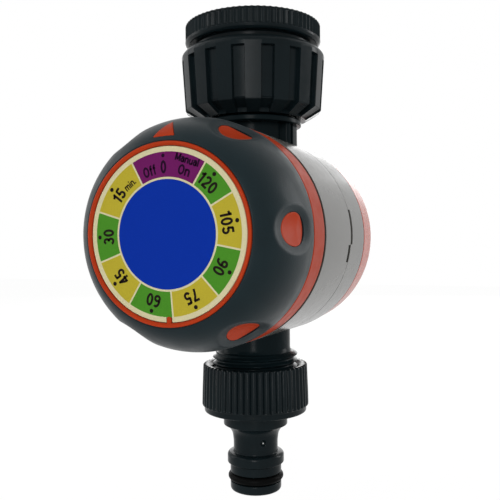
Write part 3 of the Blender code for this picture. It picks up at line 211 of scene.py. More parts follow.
def cleaned(mesh):
    """The mesh with doubled points merged, open rims filled and faces turned outwards."""
    bm = bmesh.new()
    bm.from_mesh(mesh)
    bmesh.ops.remove_doubles(bm, verts=bm.verts, dist=2e-7)
    bmesh.ops.dissolve_degenerate(bm, edges=bm.edges, dist=1e-8)
    bmesh.ops.holes_fill(bm, edges=[e for e in bm.edges if e.is_boundary], sides=0)
    bmesh.ops.recalc_face_normals(bm, faces=bm.faces)
    bm.to_mesh(mesh)
    bm.free()
    return mesh


def placed(name, data):
    """A new object in the scene."""
    thing = bpy.data.objects.new(name, data)
    bpy.context.scene.collection.objects.link(thing)
    return thing


def piece(name, mesh, finish, body, slot, *replaced, degrees=40):
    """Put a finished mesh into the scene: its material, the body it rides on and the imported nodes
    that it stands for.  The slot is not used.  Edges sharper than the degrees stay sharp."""
    mesh.shade_smooth()
    mesh.set_sharp_from_angle(angle=math.radians(degrees))
    mesh.materials.append(finish)
    thing = placed(name, mesh)
    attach(thing, body)
    if replaced:
        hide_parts(*replaced)


def carved(mesh, *cutters):
    """The mesh with the cutters' solids taken out of it."""
    thing = placed(mesh.name + "_blank", mesh)
    tools = []
    for i, cutter in enumerate(cutters):
        tool = placed(mesh.name + "_tool_" + str(i), cutter)
        cut = thing.modifiers.new("cut_" + str(i), "BOOLEAN")
        cut.object = tool
        cut.operation = "DIFFERENCE"
        cut.solver = "EXACT"
        tools.append(tool)
    bpy.context.view_layer.update()
    evaluated = thing.evaluated_get(bpy.context.evaluated_depsgraph_get())
    shaped = bpy.data.meshes.new_from_object(evaluated)
    for used in [thing, *tools]:
        bpy.data.objects.remove(used, do_unlink=True)
    return shaped


def column(outline, low, high):
    """A solid prism on an outline (x, y), as a mesh to cut with."""
    return merged_mesh("prism", [lofted(outline, [low, high])])


def ring_outline(radius):
    """A circle, its points turned off those of the surfaces that it cuts."""
    return ellipse(0, 0, radius, radius, round_turn(96) + 0.013)


# ---------------------------------------------------------------- finishes


def finish(name, colour, roughness, metallic=0.0, specular=0.5):
    """A Principled material; returns it with its node tree and shader."""
    made = bpy.data.materials.new(name)
    made.use_nodes = True
    shader = made.node_tree.nodes["Principled BSDF"]
    shader.inputs["Base Color"].default_value = (*colour, 1)
    shader.inputs["Roughness"].default_value = roughness
    shader.inputs["Metallic"].default_value = metallic
    shader.inputs["Specular IOR Level"].default_value = specular
    return made, made.node_tree, shader


MIX_SHARE, MIX_FIRST, MIX_SECOND, MIX_RESULT = 0, 6, 7, 2    # sockets of a Mix node on colours


def shader_node(tree, kind, inputs, **properties):
    """A new shader node, its inputs set to values or linked to the outputs of other nodes."""
    made = tree.nodes.new("ShaderNode" + kind)
    for name, value in properties.items():
        setattr(made, name, value)
    for place, value in inputs.items():
        if isinstance(value, bpy.types.NodeSocket):
            tree.links.new(value, made.inputs[place])
        else:
            made.inputs[place].default_value = value
    return made


def own_coordinates(tree):
    """Each point's place in its own piece."""
    return shader_node(tree, "TexCoord", {}).outputs["Object"]


def grain(tree, scale, detail, stretch=(1, 1, 1)):
    """Noise over the piece's own coordinates, scale in cells per metre."""
    mapping = shader_node(tree, "Mapping", {"Vector": own_coordinates(tree), "Scale": stretch})
    inputs = {"Vector": mapping.outputs["Vector"], "Scale": scale, "Detail": detail}
    return shader_node(tree, "TexNoise", inputs).outputs["Fac"]


def spread(tree, value, low, high, start=0.3, end=0.7):
    """A value from noise stretched over low to high."""
    inputs = {"Value": value, "From Min": start, "From Max": end, "To Min": low, "To Max": high}
    return shader_node(tree, "MapRange", inputs).outputs["Result"]


def mottled(tree, shader, first, second, value):
    """Base colour that goes from the first to the second with the value.  Either is (r, g, b, 1) or
    another node's output."""
    inputs = {MIX_SHARE: value, MIX_FIRST: first, MIX_SECOND: second}
    mix = shader_node(tree, "Mix", inputs, data_type="RGBA")
    tree.links.new(mix.outputs[MIX_RESULT], shader.inputs["Base Color"])


def highest(tree, *values):
    """The highest of several values."""
    top = values[0]
    for value in values[1:]:
        top = shader_node(tree, "Math", {0: top, 1: value}, operation="MAXIMUM").outputs["Value"]
    return top


def wandering(tree, shader, colour, darkest, lightest, scale, detail):
    """Base colour that wanders with noise between two shades of one colour."""
    darker = tuple(c * darkest for c in colour)
    lighter = tuple(min(1.0, c * lightest) for c in colour)
    share = spread(tree, grain(tree, scale, detail), 0, 1)
    mottled(tree, shader, (*darker, 1), (*lighter, 1), share)


def uneven(tree, shader, value, low, high):
    """Roughness that follows a value from noise between low and high."""
    tree.links.new(spread(tree, value, low, high), shader.inputs["Roughness"])


def bumped(tree, shader, *layers):
    """Bump layers of (value, distance in metres, strength), stacked one on the next."""
    normal = None
    for value, distance, strength in layers:
        inputs = {"Height": value, "Distance": distance, "Strength": strength}
        if normal:
            inputs["Normal"] = normal
        normal = shader_node(tree, "Bump", inputs).outputs["Normal"]
    tree.links.new(normal, shader.inputs["Normal"])


def moulded(name, colour, roughness, texture, shift=0.18, specular=0.5):
    """Injection-moulded plastic: the colour wanders a little, the sheen is uneven where the melt
    cooled, and a fine spark-eroded texture lies over slow ripples in the surface."""
    made, tree, shader = finish(name, colour, roughness, specular=specular)
    wandering(tree, shader, colour, 1 - shift, 1 + shift, 60, 3)
    uneven(tree, shader, grain(tree, 420, 5), roughness * 0.85, roughness * 1.2)
    bumped(tree, shader, (grain(tree, 110, 2), 0.00008, 0.22),
           (grain(tree, 3200, 3), texture, 0.18))
    return made


def painted_gate_glint(centre, reach):
    """The black plastic with a pale spot on it at the sprue's gate mark: a painted highlight."""
    made = moulded("black_painted_gate_glint", BLACK_COLOUR, 0.22, 0.000012, specular=0.07)
    tree = made.node_tree
    shader = tree.nodes["Principled BSDF"]
    inputs = {0: own_coordinates(tree), 1: centre}
    away = shader_node(tree, "VectorMath", inputs, operation="DISTANCE")
    share = spread(tree, away.outputs["Value"], 0, 1, reach * 0.6, reach)
    black = shader.inputs["Base Color"].links[0].from_socket
    mottled(tree, shader, (0.5, 0.52, 0.52, 1), black, share)
    return made


def soft_touch():
    """Rubbery overmould: matt, with a fine leathery pebble and a faint bloom at grazing angles."""
    made, tree, shader = finish("soft_touch_grip", GRIP_COLOUR, 0.36, specular=0.09)
    wandering(tree, shader, GRIP_COLOUR, 0.88, 1.14, 80, 4)
    uneven(tree, shader, grain(tree, 300, 5), 0.32, 0.42)
    shader.inputs["Sheen Weight"].default_value = 0.05
    shader.inputs["Sheen Roughness"].default_value = 0.45
    pebble = shader_node(tree, "TexVoronoi", {"Vector": own_coordinates(tree), "Scale": 2600})
    bumped(tree, shader, (pebble.outputs["Distance"], 0.00003, 0.4),
           (grain(tree, 700, 4), 0.00003, 0.4))
    return made


def printed(name, colour):
    """Ink on the dial's foil: dense colour with a faint speckle under a clear film."""
    roughness = 0.35
    made, tree, shader = finish(name, colour, roughness, specular=0.05)
    wandering(tree, shader, colour, 0.96, 1.04, 2400, 3)
    uneven(tree, shader, grain(tree, 500, 4), roughness * 0.85, roughness * 1.15)
    bumped(tree, shader, (grain(tree, 900, 3), 0.00001, 0.15))
    return made


def worked_metal(name, colour, roughness, stretch):
    """Metal with tool marks drawn out along one direction, and small stains."""
    made, tree, shader = finish(name, colour, roughness, 1.0)
    lines = grain(tree, 500, 6, stretch)
    wandering(tree, shader, colour, 0.8, 1.0, 240, 5)
    uneven(tree, shader, lines, roughness * 0.7, roughness * 1.4)
    bumped(tree, shader, (lines, 0.00003, 0.5))
    return made


def woven_filter():
    """Woven wire: two crossed sets of wires as bump, with painted shade in the holes between them.
    """
    made, tree, shader = finish("woven_filter", (0.45, 0.46, 0.47), 0.35, 1.0)
    inputs = {"Vector": own_coordinates(tree), "Scale": 320, "Distortion": 0.0}
    waves = [shader_node(tree, "TexWave", inputs, bands_direction=direction) for direction in "XY"]
    wires = highest(tree, *(wave.outputs["Fac"] for wave in waves))
    mottled(tree, shader, (0.02, 0.02, 0.02, 1), (0.62, 0.63, 0.64, 1),
            spread(tree, wires, 0, 1, 0.35, 0.75))
    bumped(tree, shader, (wires, 0.00015, 0.8))
    return made


BLACK_COLOUR = (0.0048, 0.0088, 0.0105)
GRIP_COLOUR = (0.0070, 0.0145, 0.0175)

BLACK = moulded("moulded_black", BLACK_COLOUR, 0.22, 0.000012, specular=0.07)
# A copy of the black plastic with a slightly darker base colour and weaker gloss, for the valve
# body: painted shade.
SHADED_BLACK_BODY = moulded("moulded_black_painted_shade", (0.0042, 0.0088, 0.0105), 0.22, 0.000012,
                     specular=0.035)
GRIP = soft_touch()
# The knob's shell and the rear cover are one orange plastic. The cover's copy has a lighter base
# colour, painted light where the cover catches grazing light; its roughness and gloss differ too.
ORANGE = moulded("moulded_orange", (0.355, 0.033, 0.007), 0.36, 0.00001, 0.06, specular=0.045)
LIT_COVER_ORANGE = moulded("moulded_orange_cover_painted_light", (0.395, 0.041, 0.010), 0.21, 0.000005, 0.05,
                       specular=0.16)
GREY = moulded("moulded_grey", (0.108, 0.106, 0.098), 0.20, 0.000005, 0.03, specular=0.30)
RUBBER = moulded("seal_black_rubber", (0.0028, 0.0030, 0.0030), 0.36, 0.00003, specular=0.02)
CREAM_INK = printed("cream_foil", (0.53, 0.49, 0.30))
PURPLE_INK = printed("purple_ink", (0.118, 0.008, 0.086))
GREEN_INK = printed("green_ink", (0.052, 0.205, 0.016))
YELLOW_INK = printed("yellow_ink", (0.38, 0.315, 0.026))
BLUE_INK = printed("blue_ink", (0.0012, 0.023, 0.27))
DARK_INK = printed("dark_ink", (0.010, 0.006, 0.005))
PLUM_INK = printed("plum_ink", (0.012, 0.001, 0.014))
BRASS = worked_metal("turned_brass", (0.70, 0.46, 0.16), 0.28, (1, 1, 9))
STEEL = worked_metal("plated_steel", (0.60, 0.61, 0.62), 0.26, (1, 9, 1))
MESH = woven_filter()
CERAMIC = moulded("lapped_ceramic", (0.74, 0.73, 0.69), 0.22, 0.00001, 0.04)


# ---------------------------------------------------------------- inlet

RIM_R = 0.0208
RIM_HEIGHT = 0.0055
RIM_RIBS = 74
REDUCER_CORE_R = 0.0151
REDUCER_END = -0.0196
SOCKET_R = 0.0135
SOCKET_FLOOR = -0.0130
REDUCER_BORE_R = 0.0080
INNER_THREAD_END = -0.0087          # above the washer
CAMERA_SIDE = math.radians(-67.5)   # the angle round the pipe that faces the camera


def make_reducer():
    """Reducer: ribs are a raised cosine of the angle on the rim's wall; both threads are rounded
    ridges along a helix, outside for the nut and inside for the tap."""
    profile = rounded([
        (RIM_R, 0), (RIM_R, -0.0047, 0.0002), (RIM_R + 0.0001, -0.0049, 0.0002),
        (RIM_R - 0.0001, -RIM_HEIGHT, 0.0002), (RIM_R - 0.0008, -RIM_HEIGHT - 0.0006),
        (0.0178, -RIM_HEIGHT - 0.0006, 0.0003), (0.0176, -0.0074, 0.0003),
        (REDUCER_CORE_R, -0.0074, 0.0002), (REDUCER_CORE_R, REDUCER_END, 0.0004),
        (REDUCER_BORE_R, REDUCER_END), (REDUCER_BORE_R, SOCKET_FLOOR), (SOCKET_R, SOCKET_FLOOR),
        (SOCKET_R, -0.0009), (SOCKET_R + 0.0009, 0)])
    profile = filled(profile, 0.00024)
    radius, height = profile.T
    flat_top = (radius > SOCKET_R + 0.001) & (radius < RIM_R - 0.002) & (height > -0.001)
    profile = profile[~flat_top | (np.arange(len(profile)) % 6 == 0)]    # few rows will do there

    def stand(angle, radius, height):
        ridge = (0.5 + 0.5 * np.cos(RIM_RIBS * angle)) ** 1.7
        on_rim = (smoothstep(RIM_R - 0.0011, RIM_R - 0.0004, radius)
                  * smoothstep(-0.0049, -0.0044, height))
        top_land = 0.25 + 0.75 * (1 - smoothstep(-0.00060, -0.00030, height))
        ribs = -0.00050 * (1 - ridge) * on_rim * top_land
        on_core = abs(radius - REDUCER_CORE_R) < 0.0001
        in_socket = abs(radius - SOCKET_R) < 0.0001
        outer = thread(angle, height, INCH_PITCH, (CAMERA_SIDE, -0.0078), -0.0190, -0.0076)
        inner = thread(angle, height, PIPE_PITCH, (0, -0.004), INNER_THREAD_END, -0.0010)
        return ribs + 0.00145 * outer * on_core + 0.00085 * inner * in_socket

    mesh = merged_mesh("reducer_body", [turned(profile, RIM_RIBS * 6, offset=stand)])
    piece("threaded_reducer", mesh, BLACK, "reducer", "fitting_black", "reducer", degrees=50)


def make_inlet_seals():
    """Filter: a flange with a quarter-ellipse dome hanging below it.  Washers: turned rectangles
    with soft edges."""
    floor = SOCKET_FLOOR + GAP
    flange_top = floor + 0.0005
    flange_r = SOCKET_R - 2 * GAP
    outer_r = REDUCER_BORE_R - 2 * GAP
    inner_r = outer_r - 0.0004
    swing = np.linspace(0, math.pi / 2, 24)
    outer = ellipse(0, floor, outer_r, -0.0045, swing)
    inner = ellipse(0, floor + 0.0002, inner_r, -0.0041, swing)
    outer[-1, 0] = 0
    inner[-1, 0] = 0
    flange = [(inner_r, flange_top), (flange_r, flange_top), (flange_r, floor)]
    mesh = merged_mesh("filter_dome", [turned(np.vstack([flange, outer, inner[::-1]]), 96)])
    piece("filter_screen", mesh, MESH, "inlet_seals", "filter_mesh", "inlet_filter")
    low = flange_top + GAP
    washer("tap_washer", SOCKET_R - GAP, REDUCER_BORE_R + GAP, low, low + 0.0025, "inlet_seals",
           "inlet_washer")
    washer("spigot_gasket", 0.0138, REDUCER_BORE_R, -0.0219, -0.0199, "housing", "spigot_seal")
    washer("adaptor_gasket", 0.0126, PIPE_BORE_R, -0.1160, -0.1144, "outlet_seal", "outlet_washer")


def washer(name, outer, inner, low, high, body, node):
    """A flat rubber ring between two radii and two heights."""
    soft = 0.0004
    profile = rounded([(outer, high, soft), (outer, low, soft), (inner, low, soft),
                       (inner, high, soft)])
    mesh = merged_mesh(name + "_ring", [turned(profile, 96)])
    piece(name, mesh, RUBBER, body, "seal_rubber", node)


NUT_R = 0.0220
NUT_TOP = -0.0087
NUT_CONE_TOP = -0.0262
NUT_BOTTOM = -0.0289
NUT_BORE_R = 0.0169
NUT_POCKETS = 16
POCKET_DEPTH = 0.0013


def make_nut():
    """Swivel nut: sixteen pockets, each a step along the profile's normal between two edges in the
    angle, from below the top land down over the cone to the foot.  A land lies almost on the chord
    between its edges, 1 - cos(edge) / cos(angle) of the radius below the arc."""
    foot_side_r = NUT_R - 0.0011
    profile = rounded([
        (NUT_R - 0.0013, NUT_TOP + 0.0007, 0.0004), (NUT_R, NUT_TOP - 0.0008, 0.0006),
        (NUT_R - 0.0001, NUT_TOP - 0.0022, 0.0001), (NUT_R - 0.0001, NUT_TOP - 0.0024, 0.0001),
        (foot_side_r, NUT_CONE_TOP, 0.0003), (0.0163, NUT_BOTTOM, 0.0003), (0.0112, NUT_BOTTOM),
        (0.0112, NUT_BOTTOM + 0.0044), (NUT_BORE_R, NUT_BOTTOM + 0.0044),
        (NUT_BORE_R, NUT_TOP - 0.0004), (0.0176, NUT_TOP + 0.0007)])
    profile = filled(profile, 0.0011)
    span = TURN / NUT_POCKETS
    half = math.radians(4.8)
    bevel = math.radians(0.35)
    edge_steps = np.array([-bevel, -bevel / 3, 0, bevel / 3, bevel])
    land = np.linspace(half + 2 * bevel, span - half - 2 * bevel, 7)
    period = np.sort(np.concatenate([edge_steps - half, [-half / 2, 0, half / 2], edge_steps + half,
                                     land]))
    angle = (np.arange(NUT_POCKETS)[:, None] * span + span / 2 + period[None, :]).reshape(-1)

    def pockets(angle, radius, height):
        middle = (angle + span / 2) % span - span / 2
        away = abs((angle % span) - span / 2)
        across = 1 - smoothstep(half - bevel, half + bevel, away)
        down = 1 - smoothstep(NUT_TOP - 0.0026, NUT_TOP - 0.00225, height)
        in_bore = (abs(radius - NUT_BORE_R) < 0.0002) & (height > NUT_BOTTOM + 0.001)
        on_side = (radius > 0.0162) & (height > NUT_BOTTOM - 0.0001) & ~in_bore
        edge = span / 2 - half
        flat = np.where(np.abs(middle) < edge, 1 - math.cos(edge) / np.cos(middle), 0)
        flat = flat * (1 - across * down) * (height < NUT_TOP - 0.0006)
        return (-POCKET_DEPTH * across * down - 0.85 * NUT_R * flat) * on_side

    mesh = merged_mesh("nut_body", [turned(profile, angle, offset=pockets)])
    piece("inlet_swivel_nut", mesh, BLACK, "inlet_nut", "fitting_black", "swivel_nut", degrees=32)


# ---------------------------------------------------------------- valve body

SPIGOT_TOP = -0.0222
NECK_R = 0.0109
WING_REACH = 0.0131
WING_HALF = 0.0038
FLANGE_R = 0.0148
FLANGE_TOP = -0.0292
FLANGE_BOTTOM = -0.0308
HOUSING_R = 0.0306
THREAD_TOP = -0.0998
THREAD_R = 0.0120
THREAD_END = -0.1141
OUTLET_TOP = -0.0770


def winged_outline(grow=0.0, grooved=False):
    """Section of the winged neck: a circle with a bar across it, its corners turned by arcs, and a
    groove down each end of the bar where one is asked for."""
    radius = NECK_R + grow
    half = WING_HALF + grow
    reach = WING_REACH + grow
    first = math.asin(half / radius)
    top = ellipse(0, 0, radius, radius, np.linspace(first, math.pi - first, 40))
    groove = []
    if grooved:
        floor = -reach + 0.0012
        groove = [(-reach, 0.0026, 0.0001), (floor, 0.0026, 0.0001), (floor, 0.0004, 0.0001),
                  (-reach, 0.0004, 0.0001)]
    left = rounded([(*top[-1], 0), (-reach + 0.0006, half, 0.0009), *groove,
                    (-reach, -half, 0.0007), (top[-1][0], -half, 0)], closed=False, steps=6)[1:-1]
    return np.vstack([top, left, -top, -left])


def make_valve_body():
    """Valve body: turned spigot and flange, the winged neck lofted on its section, a turned valve
    chamber, and the outlet with the hose adaptor's thread on it."""
    core_r = NECK_R - 0.001
    spigot = rounded([
        (0.0132, SPIGOT_TOP, 0.0006), (0.0132, -0.0242), (NECK_R, -0.0242),
        (NECK_R, FLANGE_TOP, 0.0002), (FLANGE_R, FLANGE_TOP, 0.0004),
        (FLANGE_R, FLANGE_BOTTOM, 0.0003), (core_r, FLANGE_BOTTOM), (core_r, -0.052),
        (PIPE_BORE_R, -0.052), (PIPE_BORE_R, SPIGOT_TOP)])
    neck_heights = [FLANGE_BOTTOM + 0.0002, -0.0330, -0.0360, -0.0420]
    chamber = rounded([
        (0.001, 0.0030), (0.001, -0.0030), (0.0120, -0.0030), (0.0120, -0.0170),
        (0.0188, -0.0170), (0.0188, -0.0140), (0.0145, -0.0140), (0.0145, 0.0030)])
    outlet = rounded([
        (NECK_R, OUTLET_TOP), (NECK_R, THREAD_TOP + 0.0010, 0.0003), (0.0112, THREAD_TOP, 0.0003),
        (THREAD_R, THREAD_TOP - 0.0004, 0.0003), (THREAD_R, THREAD_END, 0.0004),
        (PIPE_BORE_R, THREAD_END), (PIPE_BORE_R, OUTLET_TOP)])

    def outlet_thread(angle, radius, height):
        crest = (CAMERA_SIDE, -0.1012)
        ridge = thread(angle, height, PIPE_PITCH, crest, -0.1138, THREAD_TOP, 0.0008)
        return 0.00118 * ridge * (radius > THREAD_R - 0.0002)

    mesh = merged_mesh("valve_moulding", [
        turned(spigot, 160), lofted(winged_outline(grooved=True), neck_heights),
        turned(chamber, 96, around_knob),
        turned(filled(outlet, 0.00022), 220, offset=outlet_thread)])
    # The valve body takes the darker copy of the black plastic, painted shade.
    piece("valve_housing", mesh, SHADED_BLACK_BODY, "housing", "fitting_black", "valve_body", degrees=45)


# ---------------------------------------------------------------- outlet

ADAPTOR_TOP = -0.1038
RIB_END = -0.1163
BASE_END = -0.1182
ADAPTOR_RIBS = 52
ADAPTOR_INNER_R = 0.0135
NIPPLE_NECK_R = 0.00685
NIPPLE_END = -0.1428
NIPPLE_BORE_R = 0.0050
GATE_ANGLE = math.radians(-48)
GATE_HEIGHT = -0.1272


def make_adaptor():
    """Adaptor and nipple in one turned profile.  A rib is the size of a cosine of half its angle,
    to the power 3/4, so that it is round on top and the groove beside it is narrow; the gate mark
    is a small round hollow with a bell-shaped bead in it."""
    profile = rounded([
        (0.0161, ADAPTOR_TOP, 0.0004), (0.0164, -0.1120, 0.0001), (0.0165, RIB_END, 0.0003),
        (0.0158, RIB_END - 0.0001, 0.0002), (0.0158, BASE_END, 0.0004), (0.0099, BASE_END, 0.0002),
        (0.0099, -0.1226, 0.0005), (0.0092, -0.1226, 0.0002), (0.0082, -0.1235, 0.0010),
        (0.0072, -0.1250, 0.0012), (NIPPLE_NECK_R, -0.1276, 0.0010),
        (NIPPLE_NECK_R, -0.1310, 0.0003), (0.0083, -0.1312, 0.0004), (0.00875, -0.1318, 0.0004),
        (0.00875, -0.1342, 0.0002), (0.0079, -0.1347, 0.0001), (0.0079, -0.1372, 0.0002),
        (0.0061, -0.1372, 0.0001), (0.0061, -0.1400, 0.0001), (0.0079, -0.1400, 0.0003),
        (0.0079, NIPPLE_END, 0.0010), (NIPPLE_BORE_R, NIPPLE_END, 0.0003),
        (NIPPLE_BORE_R, RIB_END), (ADAPTOR_INNER_R, RIB_END),
        (ADAPTOR_INNER_R, ADAPTOR_TOP - 0.0010, 0.0002), (0.0145, ADAPTOR_TOP, 0.0002)])
    profile = filled(profile, 0.00035)

    def stand(angle, radius, height):
        swell = np.abs(np.cos(ADAPTOR_RIBS * angle / 2)) ** 0.75
        side = smoothstep(0.0152, 0.0158, radius) * smoothstep(RIB_END, RIB_END + 0.0005, height)
        ribs = -0.00062 * (1 - swell) * side
        around = NIPPLE_NECK_R * ((angle - GATE_ANGLE + math.pi) % TURN - math.pi)
        away = np.sqrt(around ** 2 + (height - GATE_HEIGHT) ** 2)
        on_neck = np.abs(radius - NIPPLE_NECK_R) < 0.0004
        hollow = -0.00055 * (1 - smoothstep(0.0007, 0.0010, away))
        bead = 0.0007 * np.exp(-(away / 0.0003) ** 2)
        return ribs + on_neck * (hollow + bead)

    mesh = merged_mesh("adaptor_body", [turned(profile, ADAPTOR_RIBS * 10, offset=stand)])
    # The pale spot on the gate's bead is a painted highlight.
    gate = around_pipe(NIPPLE_NECK_R, GATE_ANGLE, GATE_HEIGHT)
    piece("hose_adaptor", mesh, painted_gate_glint(gate, 0.00032), "adaptor", "fitting_black", "tap_adaptor",
          degrees=50)
    cord_r = 0.0011
    ring = ellipse(0.00745, -0.1386, cord_r, -cord_r, round_turn(20))
    seal = merged_mesh("oring_body", [turned(ring, 120)])
    piece("nipple_seal", seal, RUBBER, "adaptor", "seal_rubber", "nipple_oring", degrees=80)


# ---------------------------------------------------------------- housing

NECK_HOLE = 0.0003                  # clearance round the pipe
SHELL_INNER_R = 0.0284
SCREW_CIRCLE_R = 0.0248
SCREW_CENTRES = [SCREW_CIRCLE_R * np.array([math.sin(angle), 0, math.cos(angle)])
                 for angle in np.radians([45, 135, 225, 315])]
BACK_Y = 0.03245
COVER_INSIDE_Y = 0.03025
WELL_FLOOR_Y = 0.02975


def pipe_holes():
    """Cutters for the winged neck above and the round outlet below."""
    return (column(winged_outline(NECK_HOLE), KNOB_Z + 0.018, KNOB_Z + 0.036),
            column(ring_outline(NECK_R + NECK_HOLE), KNOB_Z - 0.036, KNOB_Z - 0.018))


def pry_slot(start, end, low, high):
    """A block across the seam between two angles clockwise from the top, in degrees; its inner edge
    reaches further back than its opening, so that the slot looks into shade."""
    under = 0.0012
    angle = np.radians(np.linspace(start, end, 16))[:, None]
    radius = HOUSING_R + np.array([0.0020, 0.0, -0.0019, -0.0019, 0.0, 0.0020])[None, :]
    y = np.array([low, low, low, high + under, high, high])[None, :]
    points = around_knob(radius, angle, y).transpose(1, 0, 2)
    return merged_mesh("slot", [surface(points, wrap_rows=True, wrap_columns=False)])


def at_screws(profile, columns, closed=True):
    """A profile (radius, y) turned round the axis of each of the cover's four screws."""
    points, quads = turned(profile, columns, around_knob, closed=closed)
    return [(points + centre, quads) for centre in SCREW_CENTRES]


def bosses(low, high):
    """The four screw bosses, as closed tubes along Y."""
    outer, inner = 0.0031, 0.0018
    return at_screws(np.array([(outer, high), (outer, low), (inner, low), (inner, high)]), 24)


def casing(name, profile, posts, slots, node):
    """One shell of the housing: a turned wall with the pipe's holes and the pry slots cut through
    it, and its screw bosses."""
    wall = merged_mesh(name + "_wall", [turned(filled(profile, 0.004), 288, around_knob)])
    wall = carved(wall, *pipe_holes(), *slots)
    posts = merged_mesh(name + "_posts", posts)
    piece(name, joined(wall, posts), GREY, "housing", "housing_grey", node, degrees=35)


def make_housing():
    """Front shell with the drum that carries the knob, and rear shell with the lip at the seam."""
    front = rounded([
        (HOUSING_R, 0.00045, 0.00008), (0.0303, -0.02375, 0.00010), (0.0301, -0.02375, 0.00005),
        (0.0301, -0.0217, 0.0001), (0.0288, -0.0217, 0.0001), (0.0288, -0.02375, 0.0002),
        (0.0220, -0.02375, 0.0003), (0.0220, -0.04375, 0.0005), (0.0033, -0.04375),
        (0.0033, -0.04235), (0.0206, -0.04235), (0.0206, -0.02155), (SHELL_INNER_R, -0.02155),
        (SHELL_INNER_R, 0.00045, 0.0001)])
    rear = rounded([
        (0.0308, 0.01610, 0.0001), (HOUSING_R, 0.00075, 0.00008), (0.0281, 0.00075, 0.0001),
        (0.0281, -0.0014, 0.0002), (0.0269, -0.0014, 0.0002), (0.0269, 0.00275),
        (SHELL_INNER_R, 0.00475), (SHELL_INNER_R, 0.01610)])
    casing("front_casing", front, bosses(-0.0225, -0.0017),
           [pry_slot(95.4, 105.0, -0.0015, 0.0014)], "front_shell")
    casing("rear_casing", rear, bosses(-0.0014, 0.0161),
           [pry_slot(75.7, 95.1, 0.0, 0.0025), pry_slot(95.4, 105.0, 0.0, 0.00077)], "rear_shell")


def make_cover():
    """Rear cover: a turned cap with a round shoulder, wells for its four screws, and bosses."""
    shoulder_r, shoulder_y = 0.0040, 0.02845
    swing = np.linspace(math.pi / 2, 0, 14)
    shoulder = ellipse(0.0261, shoulder_y, shoulder_r, shoulder_r, swing)
    inner = [(0.0307, 0.0172), (0.0306, 0.0171), (0.0305, 0.0171), (0.0305, 0.0182),
             (0.0285, 0.0182), (0.0280, shoulder_y), (0.0260, COVER_INSIDE_Y), (0, COVER_INSIDE_Y)]
    flat = np.column_stack([np.linspace(0, 0.0255, 12), np.full(12, BACK_Y)])
    cover = filled(np.vstack([flat, shoulder, inner]), 0.003, closed=False)
    cap = merged_mesh("cover_cap", [turned(cover, 288, around_knob, closed=False)])
    well = np.array([(0, 0.034), (0.0032, 0.034), (0.0032, WELL_FLOOR_Y), (0, WELL_FLOOR_Y)])
    cap = carved(cap, merged_mesh("wells", at_screws(well, 40, closed=False)))
    posts = merged_mesh("cover_posts", bosses(0.01665, 0.0299))
    # The cover takes the lighter copy of the orange, painted light.
    piece("rear_cover", joined(cap, posts), LIT_COVER_ORANGE, "housing", "shell_orange", "back_cover",
          degrees=32)


def joined(*meshes):
    """Several meshes as one, without merging or cutting them."""
    bm = bmesh.new()
    for mesh in meshes:
        bm.from_mesh(mesh)
    made = bpy.data.meshes.new(meshes[0].name)
    bm.to_mesh(made)
    bm.free()
    return made


def make_cover_screws():
    """Pan heads: a turned head with a low crown, a cross recess cut in, and a plain shank."""
    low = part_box("cover_screw_1")[0][1]
    shank_r, head_r, head_y = 0.0015, 0.0029, 0.02775
    profile = rounded([(shank_r, low + 0.0012), (shank_r, head_y), (head_r, head_y),
                       (head_r, 0.0290), (0.0021, 0.0296)], closed=False)
    profile = np.vstack([[(0, low), (0.0009, low)], profile, [(0, 0.02975)]])[::-1]
    blanks = at_screws(profile, 48, closed=False)
    places = ("cover_screw_4", "cover_screw_3", "cover_screw_2", "cover_screw_1")
    for i, (blank, centre) in enumerate(zip(blanks, SCREW_CENTRES)):
        recess = centre + (0, 0.0293, KNOB_Z)
        made = carved(merged_mesh("screw_blank", [blank]), bar(recess, 0.3 + i),
                      bar(recess, 0.3 + i + math.pi / 2))
        middle = centre + (0, 0, KNOB_Z)
        node = min(places, key=lambda place: np.linalg.norm(node_middle(place) - middle))
        piece("cover_fixing_" + str(i + 1), made, STEEL, "housing", "bright_steel", node)


def node_middle(node):
    """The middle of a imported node, seen along Y."""
    low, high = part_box(node)
    return np.array([(low[0] + high[0]) / 2, 0, (low[2] + high[2]) / 2])


def bar(centre, turn):
    """A narrow block for one arm of a cross recess, turned about Y through its centre."""
    half = np.array([0.0014, 0.0009, 0.00028])
    corners = np.array([(x, y, z) for x in (-1, 1) for y in (-1, 1) for z in (-1, 1)]) * half
    c, s = math.cos(turn), math.sin(turn)
    turned_corners = np.column_stack([corners[:, 0] * c + corners[:, 2] * s, corners[:, 1],
                                      corners[:, 2] * c - corners[:, 0] * s]) + centre
    mesh = bpy.data.meshes.new("bar")
    faces = [(0, 1, 3, 2), (4, 6, 7, 5), (0, 4, 5, 1), (2, 3, 7, 6), (0, 2, 6, 4), (1, 5, 7, 3)]
    mesh.from_pydata(turned_corners.tolist(), [], faces)
    return cleaned(mesh)


# ---------------------------------------------------------------- knob

KNOB_R = 0.0302
BAND_BACK_Y = -0.02487
GRIP_BACK_Y = -0.03385
DOME_Y = -0.03715
DOME_REACH = 0.0184
DOME_RISE = 0.0112
DOME_CENTRE_R = 0.0190
GRIP_THICK = 0.0036
RING_R = 0.0221
DIAL_R = 0.0209
DIAL_FACE_Y = -0.05453
RECESS_Y = -0.05373
SCOOPS = 6
SCOOP_Y = -0.0428
SCOOP_SIZE = np.array([0.0090, 0.0170, 0.0080])
SCOOP_LIFT = 0.0058
SCOOP_TILT = math.radians(15)
PAD_SIZE = (0.0041, 0.0049)
PAD_SHIFT = -0.0008
PAD_SINK = 0.00035
PLUG_PROUD = 0.00008
PLUG_DEPTH = 0.0050
WINDOW_CLEARANCE = 0.00010
WINDOW_REACH = 0.0060


def dome(inset, end_r, count):
    """(radius, y) of the quarter ellipse from the grip's straight back to the radius end_r."""
    last = math.acos((end_r - DOME_CENTRE_R) / (DOME_RISE - inset))
    swing = np.linspace(0, last, count)
    return ellipse(DOME_CENTRE_R, DOME_Y, DOME_RISE - inset, inset - DOME_REACH, swing)


